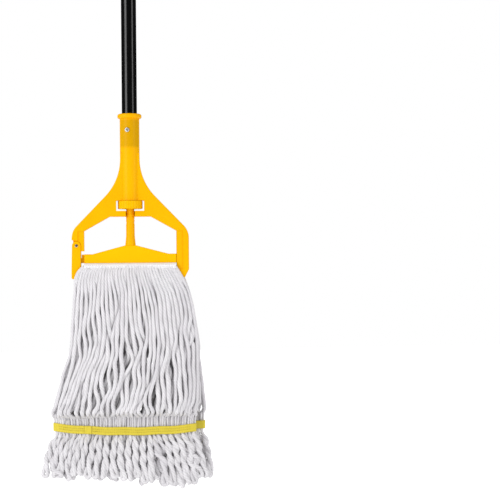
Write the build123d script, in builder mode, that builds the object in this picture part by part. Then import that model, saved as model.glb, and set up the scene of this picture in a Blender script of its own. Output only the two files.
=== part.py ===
"""String mop: a clamp-head handle with a screw press bar, a side gate and a looped yarn head.

Frame: millimetres, +Z up along the handle, +X to the right, the front faces -Y.
The origin is the centre of the hanging hole at the top, so the whole mop hangs below it.
"""

from build123d import *
from math import cos, radians, sin, tan
import os

# ---- driving dimensions -----------------------------------------------------------------------
# Every height below is measured from MOUTH, the top of the socket that holds the handle tube.
OVERALL_HANDLE = 1512.0       # hanging hole down to the tips of the clamp head
HEAD_HEIGHT = 274.0           # socket mouth down to the tips of the clamp head
MOUTH = HEAD_HEIGHT - OVERALL_HANDLE

# handle tube and its hanging cap
TUBE_R = 12.7
TUBE_WALL = 1.1
TUBE_BOTTOM = -57.0           # depth that the tube goes into the socket
CAP_COLLAR_R = 13.6
CAP_COLLAR_H = 5.0
CAP_HEIGHT = 38.0             # underside of the collar up to the centre of the hanging hole
CAP_TAB_HALF = 4.5            # half thickness of the flat tab round the hanging hole
CAP_TAB_R = 12.0
HANG_HOLE_R = 5.0
CAP_CHAMFER = 1.2
CAP_PLUG_LENGTH = 26.0
CAP_PLUG_CHAMFER = 1.0
CAP_SHOULDER = 1.4            # the tab's loft starts this far inside the collar
CAP_BOTTOM = -MOUTH - CAP_HEIGHT      # where the cap's collar sits on the tube, above the mouth

# moulded clamp head
BARREL_R = 16.4
FLANGE_R = 20.2
FLANGE_H = 8.2
SOCKET_GAP = 0.05
PLATE_HALF = 11.0             # half depth of the shoulders and legs
NECK_Z = -76.0                # where the neck starts to flare
FLARE_R = 90.0
SHOULDER_ANGLE = 44.0         # the straight shoulder, from the vertical
LEG_OUTER = 98.0
LEG_INNER = 77.5
CORNER_R = 30.0
LEG_CHAMFER_TOP = -262.0
LEG_TIP_X = 91.0
LEG_TIP_Z = -275.5
WEB_TOP = -163.2
WEB_BOTTOM = -172.8
WEB_HALF = 34.5               # half length of the flat underside of the web
SLOPE_END_Z = -197.0
WINDOW_HALF = 23.5
WINDOW_TOP = -145.9
STEP_X = 88.0                 # the legs are slightly thinner inboard of this line
STEP_DEPTH = 1.2
STEP_WIDTH = 14.0
HEAD_ROUND = 2.0              # rounding along the outer edges of the moulded head
FLANGE_ROUND = 3.4
BAR_ROUND = 4.0
LATCH_ROUND = 2.0
GUIDE_HALF = 4.9              # half width of the groove that guides the press bar
GUIDE_DEPTH = 5.0
GUIDE_TOP = -210.0
BAR_TOP = -258.5              # fixed lower bar that the yarn hangs over
BAR_BOTTOM = -272.0
BAR_HALF = 9.0
BAR_END = -82.0
LATCH_HALF = 5.0              # half depth of the bar's tongue inside the gate
LATCH_TOP = -260.5
LATCH_BOTTOM = -270.0
LATCH_END = -91.0

# blind rivet through the socket and the tube
RIVET_Z = -27.5
RIVET_SIDE = -4.0             # the rivet sits a little to the left of the centre line
RIVET_DEPTH = -15.9           # and on the barrel's surface, facing straight out from the axis
RIVET_HOLE_R = 1.65
RIVET_DRILL = 6.5             # the hole goes this deep below the barrel's surface
RIVET_SHANK_R = 1.6
RIVET_REACH = 6.1             # length of the shank below the barrel's surface
RIVET_BULB_R = 2.5            # the bulb that the setting tool swells inside the tube
RIVET_BULB_TOP = 5.2
RIVET_BULB_BOTTOM = 7.1
RIVET_HEAD_R = 4.0
RIVET_HEAD_H = 1.5
RIVET_HEAD_ROUND = 1.1
MANDREL_R = 0.95
MANDREL_GAP = 0.03
MANDREL_BOTTOM = 4.5
MANDREL_TOP = 0.9

# side gate and its pin
PIN_X = -90.2
PIN_Z = -221.2
PIN_R = 2.0
PIN_GAP = 0.08
GATE_GAP = 0.35
GATE_R = 7.4                  # round end of the gate about its pin
GATE_OUTER = 98.6
GATE_BOTTOM = -277.0
GATE_TAPER_Z = -262.0         # the outer side is straight below this height
GATE_FOOT_OUT = 96.8          # the foot is narrower than the gate, from here
GATE_FOOT_IN = 88.0           # to here
GATE_INNER = 82.9
GATE_INNER_Z = -255.0
GATE_ROUND = 1.2
GATE_WALL = 3.6
GATE_WALL_TOP = -233.5
TONGUE_HALF = 5.5             # half depth of the leg's tongue between the gate's cheeks
TONGUE_TOP = -205.0
STUB_OUTER_Z = -211.3         # lower edge of the full-depth leg at its outer side
STUB_BOTTOM = -230.6
PIN_HEAD_R = 2.7
PIN_HEAD_H = 0.9
PIN_HEAD_ROUND = 0.5

# thumb wheel, screw stem and press bar
WHEEL_R = 20.8
WHEEL_TOP = -146.3
WHEEL_BOTTOM = -159.8
WHEEL_RIBS = 30
WHEEL_ROUND = 1.2
RIB_GROOVE_R = 1.3            # the ribs are what is left between scooped grooves,
RIB_GROOVE_OUT = 0.7          # whose centres lie just outside the rim
STEM_R = 7.15
STEM_TOP = -131.0
SCREW_GAP = 0.09              # radial running gap between the stem and the wheel
WEB_SLOT_GAP = 0.4
THREAD_PITCH = 5.0
THREAD_DEPTH = 0.45
THREAD_CREST = 1.8            # length of a crest, then a flank down to the root and one up again
THREAD_FLANK = 0.9
THREAD_ROOT = 1.2
STEM_BORE_TOP = -112.0        # top of the cavity that takes the stem as it rises
THREAD_BOTTOM = -186.0
FLARE_TOP = -204.0
STEM_FOOT_R = 8.9
PRESS_PEAK = -221.0
PRESS_SHOULDER_X = 63.5
PRESS_SHOULDER_Z = -235.6
PRESS_BOTTOM = -250.8
PRESS_END = 77.0
PRESS_TONGUE_END = 81.7
PRESS_TONGUE_HALF = 4.5
PRESS_ROUND = 1.8
STEM_CHAMFER = 1.2
PRESS_TIP_END = 84.3          # the lower corner of the left tongue reaches in between the gate's cheeks
PRESS_TIP_TOP = -241.5

# yarn, headband and tail bands
SADDLE_HALF = 15.0            # half depth of the yarn where it lies over the lower bar
SADDLE_TOP = -253.0
SADDLE_THICK = 4.5
SADDLE_BOTTOM = -258.6
SADDLE_LEFT = -78.0
SADDLE_RIGHT = 76.5
FOLD_CORNER = 0.45            # largest corner radius of a fold, as a share of its height
CLOTH_GAP = 0.2
BAND_THICK = 1.5
HEADBAND_BOTTOM = -258.4
HEADBAND_ROWS = (-254.4, -256.9)     # heights of the two rows of stitching on each face
STITCH = 0.8
TAIL_TOP = -519.0
TAIL_BOTTOM = -532.6
TAIL_ROW_INSET = 4.0          # the two rows of stitching run this far inside the tape's edges
TAIL_ROW_END = 10.0           # and stop this far short of its ends
BUNDLE_CORNER = 8.0           # the bundles' corners in plan,
BUNDLE_CORNER_SHARE = 0.37    # and no rounder than this share of their depth
FRINGE_BOTTOM = -628.0

# stations down the front yarn: height, left edge, right edge, inner depth, outer depth
FRONT_YARN = [
    (-258.8, -84.0, 77.5, 11.4, 18.0),
    (-266.5, -91.0, 84.0, 11.4, 20.5),
    (-280.0, -95.0, 92.0, 11.4, 23.5),
    (-300.0, -96.0, 100.0, 2.4, 27.0),
    (-345.0, -99.0, 109.0, 2.4, 32.0),
    (-406.0, -105.0, 113.0, 2.4, 36.0),
    (-446.0, -118.0, 112.0, 2.4, 38.0),
    (-498.0, -132.0, 111.0, 2.4, 40.0),
    (-513.0, -130.0, 108.0, 5.0, 16.5),
    (-540.0, -130.0, 108.0, 5.0, 16.5),
]
# the back yarn lies a little further to the right
BACK_YARN = [
    (-258.8, -84.0, 79.0, 11.4, 18.0),
    (-266.5, -90.0, 86.0, 11.4, 20.5),
    (-280.0, -94.0, 94.0, 11.4, 23.5),
    (-300.0, -95.0, 100.0, 2.4, 27.0),
    (-345.0, -97.0, 109.5, 2.4, 32.0),
    (-406.0, -102.0, 116.0, 2.4, 36.0),
    (-446.0, -108.0, 121.0, 2.4, 38.0),
    (-498.0, -118.0, 126.0, 2.4, 40.0),
    (-513.0, -117.0, 123.5, 5.0, 16.5),
    (-540.0, -117.0, 123.5, 5.0, 16.5),
]
FRONT_FRINGE = [
    (-540.5, -131.0, 110.0, 4.0, 17.5),
    (-575.0, -143.0, 122.0, 2.4, 33.0),
    (FRINGE_BOTTOM, -147.0, 130.0, 2.4, 39.0),
]
BACK_FRINGE = [
    (-540.5, -119.0, 125.0, 4.0, 17.5),
    (-575.0, -129.0, 133.0, 2.4, 33.0),
    (FRINGE_BOTTOM, -134.0, 137.0, 2.4, 39.0),
]

FRONT = -1
BACK = 1

os.makedirs("parts", exist_ok=True)


def level(height):
    """Horizontal plane at a height given from the socket mouth."""
    return Plane.XY.offset(MOUTH + height)


def upright(depth=0.0):
    """Vertical plane whose local x is +X and local y is +Z, at a depth along +Y."""
    return Plane.XZ.offset(-depth)


def save(part, name):
    """Label a finished piece and write its STEP file."""
    part.label = name
    export_step(part, f"parts/{name}.step")


# ---- handle tube and cap ------------------------------------------------------------------------
rivet_seat = Plane(
    origin=(RIVET_SIDE, RIVET_DEPTH, MOUTH + RIVET_Z),
    x_dir=(0, 0, 1),
    z_dir=(RIVET_SIDE / BARREL_R, RIVET_DEPTH / BARREL_R, 0),
)

with BuildPart() as handle_tube:
    with BuildSketch(level(TUBE_BOTTOM)):
        Circle(TUBE_R)
        Circle(TUBE_R - TUBE_WALL, mode=Mode.SUBTRACT)
    extrude(amount=CAP_BOTTOM - TUBE_BOTTOM)
    with BuildSketch(rivet_seat):
        Circle(RIVET_HOLE_R)
    extrude(amount=-RIVET_DRILL, mode=Mode.SUBTRACT)
save(handle_tube.part, "handle_tube")

with BuildPart() as hang_cap:
    with BuildSketch(level(CAP_BOTTOM)):
        Circle(CAP_COLLAR_R)
    extrude(amount=CAP_COLLAR_H)
    chamfer(hang_cap.edges().group_by(Axis.Z)[-1], CAP_CHAMFER)
    with BuildSketch(level(CAP_BOTTOM + CAP_COLLAR_H - 0.01)):
        Circle(CAP_COLLAR_R - CAP_SHOULDER)
    with BuildSketch(level(CAP_BOTTOM + CAP_HEIGHT - CAP_TAB_R)):
        RectangleRounded(2 * CAP_TAB_R, 2 * CAP_TAB_HALF, CAP_TAB_HALF - 1.0)
    loft()
    with BuildSketch(upright()):
        with Locations((0, MOUTH + CAP_BOTTOM + CAP_HEIGHT - CAP_TAB_R / 2)):
            Rectangle(2 * CAP_TAB_R, CAP_TAB_R + 0.02)
        with Locations((0, 0)):
            Circle(CAP_TAB_R)
    extrude(amount=CAP_TAB_HALF, both=True)
    with BuildSketch(level(CAP_BOTTOM)):
        Circle(TUBE_R - TUBE_WALL - SOCKET_GAP)
    extrude(amount=-CAP_PLUG_LENGTH)
    chamfer(hang_cap.edges().group_by(Axis.Z)[0], CAP_PLUG_CHAMFER)
    with BuildSketch(upright()):
        Circle(HANG_HOLE_R)
    extrude(amount=CAP_TAB_HALF + 4.0, both=True, mode=Mode.SUBTRACT)
save(hang_cap.part, "hang_cap")

# ---- blind rivet --------------------------------------------------------------------------------
with BuildPart() as tube_rivet:
    with BuildSketch(rivet_seat.offset(-RIVET_REACH)):
        Circle(RIVET_SHANK_R)
    extrude(amount=RIVET_REACH + RIVET_HEAD_H / 2)
    with BuildSketch(rivet_seat.offset(-RIVET_BULB_BOTTOM)):
        Circle(RIVET_BULB_R)
    extrude(amount=RIVET_BULB_BOTTOM - RIVET_BULB_TOP)
    with BuildSketch(rivet_seat.offset(SOCKET_GAP)):
        Circle(RIVET_HEAD_R)
    extrude(amount=RIVET_HEAD_H)
    fillet(tube_rivet.edges().sort_by(Axis.Y)[0], RIVET_HEAD_ROUND)
    with BuildSketch(rivet_seat.offset(2 * RIVET_HEAD_H)):
        Circle(MANDREL_R + MANDREL_GAP)
    extrude(amount=-2 * RIVET_HEAD_H - MANDREL_BOTTOM - 0.5, mode=Mode.SUBTRACT)
save(tube_rivet.part, "tube_rivet")

with BuildPart() as rivet_mandrel:
    with BuildSketch(rivet_seat.offset(-MANDREL_BOTTOM)):
        Circle(MANDREL_R)
    extrude(amount=MANDREL_BOTTOM + MANDREL_TOP)
save(rivet_mandrel.part, "rivet_mandrel")

# ---- moulded clamp head -------------------------------------------------------------------------
neck_end_x = BARREL_R + FLARE_R * (1 - cos(radians(SHOULDER_ANGLE)))
neck_end_z = NECK_Z - FLARE_R * sin(radians(SHOULDER_ANGLE))
corner_z = neck_end_z - (LEG_OUTER - neck_end_x) / tan(radians(SHOULDER_ANGLE))


def at(x, height):
    """Point of an upright sketch: x, and a height given from the socket mouth."""
    return (x, MOUTH + height)


def outline(*points, mode=Mode.ADD):
    """Straight-sided face in an upright sketch, through points given as (x, height)."""
    return Polygon(*[at(x, height) for x, height in points], align=None, mode=mode)


with BuildPart() as head_frame:
    # shoulders and legs, drawn as the right half and mirrored
    with BuildSketch(upright()) as plate:
        with BuildLine():
            Line(at(0, NECK_Z + 10), at(BARREL_R - 1, NECK_Z + 10))
            Line(at(BARREL_R - 1, NECK_Z + 10), at(BARREL_R, NECK_Z))
            RadiusArc(at(BARREL_R, NECK_Z), at(neck_end_x, neck_end_z), -FLARE_R)
            Line(at(neck_end_x, neck_end_z), at(LEG_OUTER, corner_z))
            Line(at(LEG_OUTER, corner_z), at(LEG_OUTER, LEG_CHAMFER_TOP))
            Line(at(LEG_OUTER, LEG_CHAMFER_TOP), at(LEG_TIP_X, LEG_TIP_Z))
            Line(at(LEG_TIP_X, LEG_TIP_Z), at(LEG_INNER, LEG_TIP_Z))
            Line(at(LEG_INNER, LEG_TIP_Z), at(LEG_INNER, SLOPE_END_Z))
            Line(at(LEG_INNER, SLOPE_END_Z), at(WEB_HALF, WEB_BOTTOM))
            Line(at(WEB_HALF, WEB_BOTTOM), at(0, WEB_BOTTOM))
            Line(at(0, WEB_BOTTOM), at(0, NECK_Z + 10))
        make_face()
        shoulder = plate.vertices().group_by(Axis.X)[-1].sort_by(Axis.Y)[-1]
        fillet(shoulder, CORNER_R)
        mirror(about=Plane.YZ)
        with Locations(at(PIN_X, PIN_Z)):
            Circle(GATE_R + GATE_GAP, mode=Mode.SUBTRACT)
        outline(
            (PIN_X, PIN_Z + GATE_R + GATE_GAP),
            (-LEG_OUTER - 2, STUB_OUTER_Z),
            (-LEG_OUTER - 2, LEG_TIP_Z - 2),
            (PIN_X + GATE_R + GATE_GAP, LEG_TIP_Z - 2),
            (PIN_X + GATE_R + GATE_GAP, PIN_Z),
            (PIN_X, PIN_Z),
            mode=Mode.SUBTRACT,
        )
        with Locations(at(-LEG_INNER, (STUB_BOTTOM + LEG_TIP_Z) / 2 - 2)):
            Rectangle(16, STUB_BOTTOM - LEG_TIP_Z + 4, mode=Mode.SUBTRACT)
        with Locations(at(0, (WINDOW_TOP + WEB_TOP) / 2)):
            Rectangle(2 * WINDOW_HALF, WINDOW_TOP - WEB_TOP, mode=Mode.SUBTRACT)
    extrude(amount=PLATE_HALF, both=True)
    front_face = head_frame.faces().filter_by(Axis.Y).sort_by(Axis.Y)[0]
    back_face = head_frame.faces().filter_by(Axis.Y).sort_by(Axis.Y)[-1]
    fillet(front_face.outer_wire().edges() + back_face.outer_wire().edges(), HEAD_ROUND)

    # the tongue of the short left leg, held between the gate's cheeks
    with BuildSketch(upright()):
        with Locations(at(PIN_X, PIN_Z)):
            Circle(GATE_R - 0.5)
        outline(
            (-LEG_OUTER + 2.2, TONGUE_TOP),
            (-LEG_OUTER + 2.2, PIN_Z),
            (PIN_X + GATE_R + 2 * GATE_GAP, PIN_Z),
            (PIN_X + GATE_R + 2 * GATE_GAP, TONGUE_TOP),
        )
    extrude(amount=TONGUE_HALF, both=True)

    # fixed lower bar, with a narrow latch tongue at its free end
    with BuildSketch(Plane.YZ.offset(BAR_END)):
        with Locations(at(0, (BAR_TOP + BAR_BOTTOM) / 2)):
            RectangleRounded(2 * BAR_HALF, BAR_TOP - BAR_BOTTOM, BAR_ROUND)
    extrude(amount=LEG_INNER + 2 - BAR_END)
    with BuildSketch(Plane.YZ.offset(LATCH_END)):
        with Locations(at(0, (LATCH_TOP + LATCH_BOTTOM) / 2)):
            RectangleRounded(2 * LATCH_HALF, LATCH_TOP - LATCH_BOTTOM, LATCH_ROUND)
    extrude(amount=BAR_END + 2 - LATCH_END)

    # socket barrel down to the wheel's window, and the rounded flange at its mouth
    with BuildSketch(level(0)):
        Circle(BARREL_R)
    extrude(amount=WINDOW_TOP)
    with BuildSketch(Plane.XZ) as flange_profile:
        with Locations(at(0, 0)):
            Rectangle(FLANGE_R, FLANGE_H, align=(Align.MIN, Align.MAX))
        fillet(flange_profile.vertices().group_by(Axis.X)[-1], FLANGE_ROUND)
    revolve(axis=Axis.Z)

    # bores for the tube and the screw stem, and the slot that shows the stem in the web
    with BuildSketch(level(0)):
        Circle(TUBE_R + SOCKET_GAP)
    extrude(amount=TUBE_BOTTOM - 0.3, mode=Mode.SUBTRACT)
    with BuildSketch(level(STEM_BORE_TOP)):
        Circle(STEM_R + WEB_SLOT_GAP)
    extrude(amount=WEB_BOTTOM - STEM_BORE_TOP - 2, mode=Mode.SUBTRACT)
    with BuildSketch(level(WEB_TOP + 1)):
        with Locations((0, -PLATE_HALF)):
            Rectangle(2 * (STEM_R + WEB_SLOT_GAP), 2 * PLATE_HALF)
    extrude(amount=WEB_BOTTOM - WEB_TOP - 2, mode=Mode.SUBTRACT)
    with BuildSketch(rivet_seat.offset(RIVET_HEAD_H)):
        Circle(RIVET_HOLE_R)
    extrude(amount=-RIVET_HEAD_H - RIVET_DRILL, mode=Mode.SUBTRACT)

    # shallow step down the front and back of each leg
    step_length = SLOPE_END_Z - LEG_CHAMFER_TOP
    with BuildSketch(level(SLOPE_END_Z)):
        for side, edge in ((1, FRONT), (1, BACK), (-1, FRONT), (-1, BACK)):
            with Locations((side * STEP_X, edge * (PLATE_HALF - STEP_DEPTH))):
                align_x = Align.MAX if side > 0 else Align.MIN
                align_y = Align.MIN if edge > 0 else Align.MAX
                Rectangle(STEP_WIDTH, 2 * STEP_DEPTH, align=(align_x, align_y))
    extrude(amount=-step_length, mode=Mode.SUBTRACT)

    # grooves that guide the press bar's ends
    with BuildSketch(level(GUIDE_TOP)):
        for side in (-1, 1):
            with Locations((side * LEG_INNER, 0)):
                Rectangle(2 * GUIDE_DEPTH, 2 * GUIDE_HALF)
    extrude(amount=PRESS_BOTTOM - 1.5 - GUIDE_TOP, mode=Mode.SUBTRACT)

    # pin hole through the tongue
    with BuildSketch(upright()):
        with Locations(at(PIN_X, PIN_Z)):
            Circle(PIN_R + SOCKET_GAP)
    extrude(amount=PLATE_HALF, both=True, mode=Mode.SUBTRACT)
save(head_frame.part, "head_frame")

# ---- side gate and its pin ----------------------------------------------------------------------
with BuildPart() as gate:
    with BuildSketch(upright()):
        with Locations(at(PIN_X, PIN_Z)):
            Circle(GATE_R)
        outline(
            (PIN_X - GATE_R, PIN_Z),
            (-GATE_OUTER, GATE_TAPER_Z),
            (-GATE_OUTER, GATE_BOTTOM + 1.8),
            (-GATE_FOOT_OUT, GATE_BOTTOM),
            (-GATE_FOOT_IN, GATE_BOTTOM),
            (-GATE_INNER - 1.3, GATE_BOTTOM + 5.0),
            (-GATE_INNER, GATE_INNER_Z),
            (PIN_X + GATE_R, PIN_Z),
        )
    extrude(amount=PLATE_HALF, both=True)
    gate_front = gate.faces().filter_by(Axis.Y).sort_by(Axis.Y)[0]
    gate_back = gate.faces().filter_by(Axis.Y).sort_by(Axis.Y)[-1]
    fillet(gate_front.edges() + gate_back.edges(), GATE_ROUND)
    with BuildSketch(upright()):
        outline(
            (-GATE_OUTER + GATE_WALL, GATE_BOTTOM + GATE_WALL),
            (-GATE_INNER + 3.0, GATE_BOTTOM + GATE_WALL),
            (-GATE_INNER + 3.0, PIN_Z + GATE_R + 4.0),
            (-GATE_OUTER - 3.0, PIN_Z + GATE_R + 4.0),
            (-GATE_OUTER - 3.0, GATE_WALL_TOP),
            (-GATE_OUTER + GATE_WALL, GATE_WALL_TOP),
        )
    extrude(amount=TONGUE_HALF + GATE_GAP, both=True, mode=Mode.SUBTRACT)
    with BuildSketch(upright()):
        with Locations(at(PIN_X, PIN_Z)):
            Circle(PIN_R + PIN_GAP)
    extrude(amount=PLATE_HALF + 1, both=True, mode=Mode.SUBTRACT)
save(gate.part, "gate")

with BuildPart() as gate_pin:
    with BuildSketch(upright()):
        with Locations(at(PIN_X, PIN_Z)):
            Circle(PIN_R)
    extrude(amount=PLATE_HALF + GATE_GAP, both=True)
    for direction in (FRONT, BACK):
        with BuildSketch(upright(direction * (PLATE_HALF + GATE_GAP))):
            with Locations(at(PIN_X, PIN_Z)):
                Circle(PIN_HEAD_R)
        extrude(amount=-direction * PIN_HEAD_H)
    fillet(gate_pin.edges().group_by(Axis.Y)[0] + gate_pin.edges().group_by(Axis.Y)[-1], PIN_HEAD_ROUND)
save(gate_pin.part, "gate_pin")

# ---- thumb wheel: a ribbed nut held in the window ------------------------------------------------
with BuildPart() as thumb_wheel:
    with BuildSketch(level(WHEEL_TOP)):
        Circle(WHEEL_R)
    extrude(amount=WHEEL_BOTTOM - WHEEL_TOP)
    fillet(thumb_wheel.edges(), WHEEL_ROUND)
    with BuildSketch(level(WHEEL_TOP)):
        Circle(STEM_R + SCREW_GAP)
        with PolarLocations(WHEEL_R + RIB_GROOVE_OUT, WHEEL_RIBS):
            Circle(RIB_GROOVE_R)
    extrude(amount=WHEEL_BOTTOM - WHEEL_TOP, mode=Mode.SUBTRACT)
save(thumb_wheel.part, "thumb_wheel")

# ---- press bar and its screw stem ----------------------------------------------------------------
thread_top = STEM_TOP - 3.0
thread_turns = int((thread_top - THREAD_BOTTOM) / THREAD_PITCH)
thread_points = []
for turn in range(thread_turns):
    crest = thread_top - turn * THREAD_PITCH
    thread_points += [
        at(STEM_R, crest),
        at(STEM_R, crest - THREAD_CREST),
        at(STEM_R - THREAD_DEPTH, crest - THREAD_CREST - THREAD_FLANK),
        at(STEM_R - THREAD_DEPTH, crest - THREAD_CREST - THREAD_FLANK - THREAD_ROOT),
    ]

with BuildPart() as press_bar:
    with BuildSketch(upright()):
        outline(
            (-PRESS_END, PRESS_SHOULDER_Z),
            (-PRESS_SHOULDER_X, PRESS_SHOULDER_Z),
            (-STEM_FOOT_R, PRESS_PEAK),
            (STEM_FOOT_R, PRESS_PEAK),
            (PRESS_SHOULDER_X, PRESS_SHOULDER_Z),
            (PRESS_END, PRESS_SHOULDER_Z),
            (PRESS_END, PRESS_BOTTOM),
            (-PRESS_END, PRESS_BOTTOM),
        )
    extrude(amount=PLATE_HALF - 0.4, both=True)
    bar_front = press_bar.faces().filter_by(Axis.Y).sort_by(Axis.Y)[0]
    bar_back = press_bar.faces().filter_by(Axis.Y).sort_by(Axis.Y)[-1]
    fillet(bar_front.edges() + bar_back.edges(), PRESS_ROUND)
    with BuildSketch(upright()):
        with Locations(at(0, (PRESS_SHOULDER_Z + PRESS_BOTTOM) / 2)):
            Rectangle(2 * PRESS_TONGUE_END, PRESS_SHOULDER_Z - PRESS_BOTTOM - 0.8)
        outline(
            (-PRESS_TIP_END, PRESS_TIP_TOP),
            (-PRESS_END, PRESS_TIP_TOP),
            (-PRESS_END, PRESS_BOTTOM + 0.4),
            (-PRESS_TIP_END, PRESS_BOTTOM + 0.4),
        )
    extrude(amount=PRESS_TONGUE_HALF, both=True)
    with BuildSketch(Plane.XZ):
        with BuildLine():
            Polyline(
                at(0, STEM_TOP),
                at(STEM_R - STEM_CHAMFER, STEM_TOP),
                at(STEM_R, STEM_TOP - STEM_CHAMFER),
                *thread_points,
                at(STEM_R, THREAD_BOTTOM - 1.0),
                at(STEM_R, FLARE_TOP),
                at(STEM_FOOT_R, PRESS_PEAK - 1.0),
                at(STEM_FOOT_R, PRESS_SHOULDER_Z),
                at(0, PRESS_SHOULDER_Z),
                close=True,
            )
        make_face()
    revolve(axis=Axis.Z)
save(press_bar.part, "press_bar")


# ---- yarn head -----------------------------------------------------------------------------------
def fold(half, top, bottom, thickness):
    """Profile of an inverted U over the lower bar, at the bar's left end."""
    with BuildSketch(Plane.YZ.offset(SADDLE_LEFT)) as profile:
        with Locations(at(0, top)):
            Rectangle(2 * half, top - bottom, align=(Align.CENTER, Align.MAX))
        fillet(profile.vertices().group_by(Axis.Z)[-1], min(thickness, (top - bottom) * FOLD_CORNER))
        with Locations(at(0, top - thickness)):
            Rectangle(
                2 * (half - thickness),
                top - bottom,
                align=(Align.CENTER, Align.MAX),
                mode=Mode.SUBTRACT,
            )
    return profile.sketch


def bundle_corner(near, far):
    """Corner radius of a bundle in plan, from its inner and outer depth."""
    return min(BUNDLE_CORNER, (far - near) * BUNDLE_CORNER_SHARE)


def bundle(stations, direction):
    """Cross-sections of a hanging bundle of yarn, on the front or the back."""
    sections = []
    for height, left, right, near, far in stations:
        with BuildSketch(level(height)) as section:
            with Locations(((left + right) / 2, direction * (near + far) / 2)):
                RectangleRounded(right - left, far - near, bundle_corner(near, far))
        sections.append(section.sketch)
    return sections


headband_half = SADDLE_HALF + CLOTH_GAP + BAND_THICK
headband_top = SADDLE_TOP + CLOTH_GAP + BAND_THICK
saddle_length = SADDLE_RIGHT - SADDLE_LEFT

with BuildPart() as yarn_saddle:
    extrude(fold(SADDLE_HALF, SADDLE_TOP, SADDLE_BOTTOM, SADDLE_THICK), amount=saddle_length)
save(yarn_saddle.part, "yarn_saddle")

with BuildPart() as headband:
    extrude(fold(headband_half, headband_top, HEADBAND_BOTTOM, BAND_THICK), amount=saddle_length)
save(headband.part, "headband")

with BuildPart() as headband_stitching:
    for direction in (FRONT, BACK):
        for height in HEADBAND_ROWS:
            with BuildSketch(Plane.YZ.offset(SADDLE_LEFT)):
                with Locations(at(direction * (headband_half + STITCH / 2 + 0.05), height)):
                    Rectangle(STITCH, STITCH)
            extrude(amount=saddle_length)
save(headband_stitching.part, "headband_stitching")

with BuildPart() as yarn_front:
    loft(bundle(FRONT_YARN, FRONT), ruled=True)
save(yarn_front.part, "yarn_front")

with BuildPart() as yarn_back:
    loft(bundle(BACK_YARN, BACK), ruled=True)
save(yarn_back.part, "yarn_back")

with BuildPart() as fringe_front:
    loft(bundle(FRONT_FRINGE, FRONT), ruled=True)
save(fringe_front.part, "fringe_front")

with BuildPart() as fringe_back:
    loft(bundle(BACK_FRINGE, BACK), ruled=True)
save(fringe_back.part, "fringe_back")


def tail_tape(station, direction):
    """Profile of the tape wrapped round one bundle of yarn, as a flat closed loop."""
    height, left, right, near, far = station
    with BuildSketch(level(TAIL_TOP)) as profile:
        with Locations(((left + right) / 2, direction * (near + far) / 2)):
            for grow, mode in ((CLOTH_GAP + BAND_THICK, Mode.ADD), (CLOTH_GAP, Mode.SUBTRACT)):
                corner = bundle_corner(near, far) + grow
                RectangleRounded(right - left + 2 * grow, far - near + 2 * grow, corner, mode=mode)
    return profile.sketch


with BuildPart() as tail_band_front:
    extrude(tail_tape(FRONT_YARN[-1], FRONT), amount=TAIL_BOTTOM - TAIL_TOP)
save(tail_band_front.part, "tail_band_front")

with BuildPart() as tail_band_back:
    extrude(tail_tape(BACK_YARN[-1], BACK), amount=TAIL_BOTTOM - TAIL_TOP)
save(tail_band_back.part, "tail_band_back")

with BuildPart() as tail_band_stitching:
    for direction, station in ((FRONT, FRONT_YARN[-1]), (BACK, BACK_YARN[-1])):
        height, left, right, near, far = station
        for height in (TAIL_TOP - TAIL_ROW_INSET, TAIL_BOTTOM + TAIL_ROW_INSET):
            face = far + CLOTH_GAP + BAND_THICK + STITCH / 2 + 0.05
            with BuildSketch(Plane.YZ.offset(left + TAIL_ROW_END)):
                with Locations(at(direction * face, height)):
                    Rectangle(STITCH, STITCH)
            extrude(amount=right - left - 2 * TAIL_ROW_END)
save(tail_band_stitching.part, "tail_band_stitching")
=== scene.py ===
"""Looks for the string mop: moulded clamp head, painted tube and a looped yarn head.

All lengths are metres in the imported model's own frame: +Z up along the handle, the front faces -Y.
"""

import logging
import math
from dataclasses import dataclass, field
from enum import Enum

import bpy
import numpy as np
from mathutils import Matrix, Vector


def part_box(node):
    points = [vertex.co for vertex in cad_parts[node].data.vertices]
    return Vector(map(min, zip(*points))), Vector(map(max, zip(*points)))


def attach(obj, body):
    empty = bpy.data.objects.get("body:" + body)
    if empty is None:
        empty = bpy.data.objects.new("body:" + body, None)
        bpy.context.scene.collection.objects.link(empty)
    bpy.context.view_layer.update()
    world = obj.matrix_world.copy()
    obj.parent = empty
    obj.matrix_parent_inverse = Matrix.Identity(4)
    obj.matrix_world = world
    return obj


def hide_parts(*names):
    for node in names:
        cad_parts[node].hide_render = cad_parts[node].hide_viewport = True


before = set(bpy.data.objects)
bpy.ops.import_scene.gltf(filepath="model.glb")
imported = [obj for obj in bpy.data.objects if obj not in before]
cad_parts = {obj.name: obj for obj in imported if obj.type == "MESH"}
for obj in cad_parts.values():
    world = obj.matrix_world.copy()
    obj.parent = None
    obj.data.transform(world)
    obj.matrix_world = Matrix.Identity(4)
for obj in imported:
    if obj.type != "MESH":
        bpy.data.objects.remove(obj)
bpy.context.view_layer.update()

LOG = logging.getLogger("string_mop")
HEAD_BODY = "handle_and_head"
MM = 0.001

Socket = bpy.types.NodeSocket
Node = bpy.types.Node
NodeTree = bpy.types.NodeTree
Material = bpy.types.Material
Mesh = bpy.types.Mesh
Piece = bpy.types.Object
Colour = tuple[float, float, float]
Span = tuple[float, float]
Profile = tuple[tuple[float, ...], tuple[float, ...]]


class Side(Enum):
    """Which face of the mop a piece belongs to, as the sign of its Y."""

    FRONT = -1
    BACK = 1


def node_box(name: str) -> tuple[Vector, Vector]:
    """Lowest and highest corner of a CAD node.

    Args:
        name: The node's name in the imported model.

    Returns:
        The two corners as vectors, in metres.
    """
    low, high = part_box(name)
    return Vector(low), Vector(high)


MOUTH = node_box("head_frame")[1].z


# ---- shader helpers ---------------------------------------------------------------------------------
# Places of the factor and the two colours among a Mix node's inputs, and of the colour it puts out.
COLOUR_MIX_INPUTS = (0, 6, 7)
COLOUR_MIX_OUTPUT = 2


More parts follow.
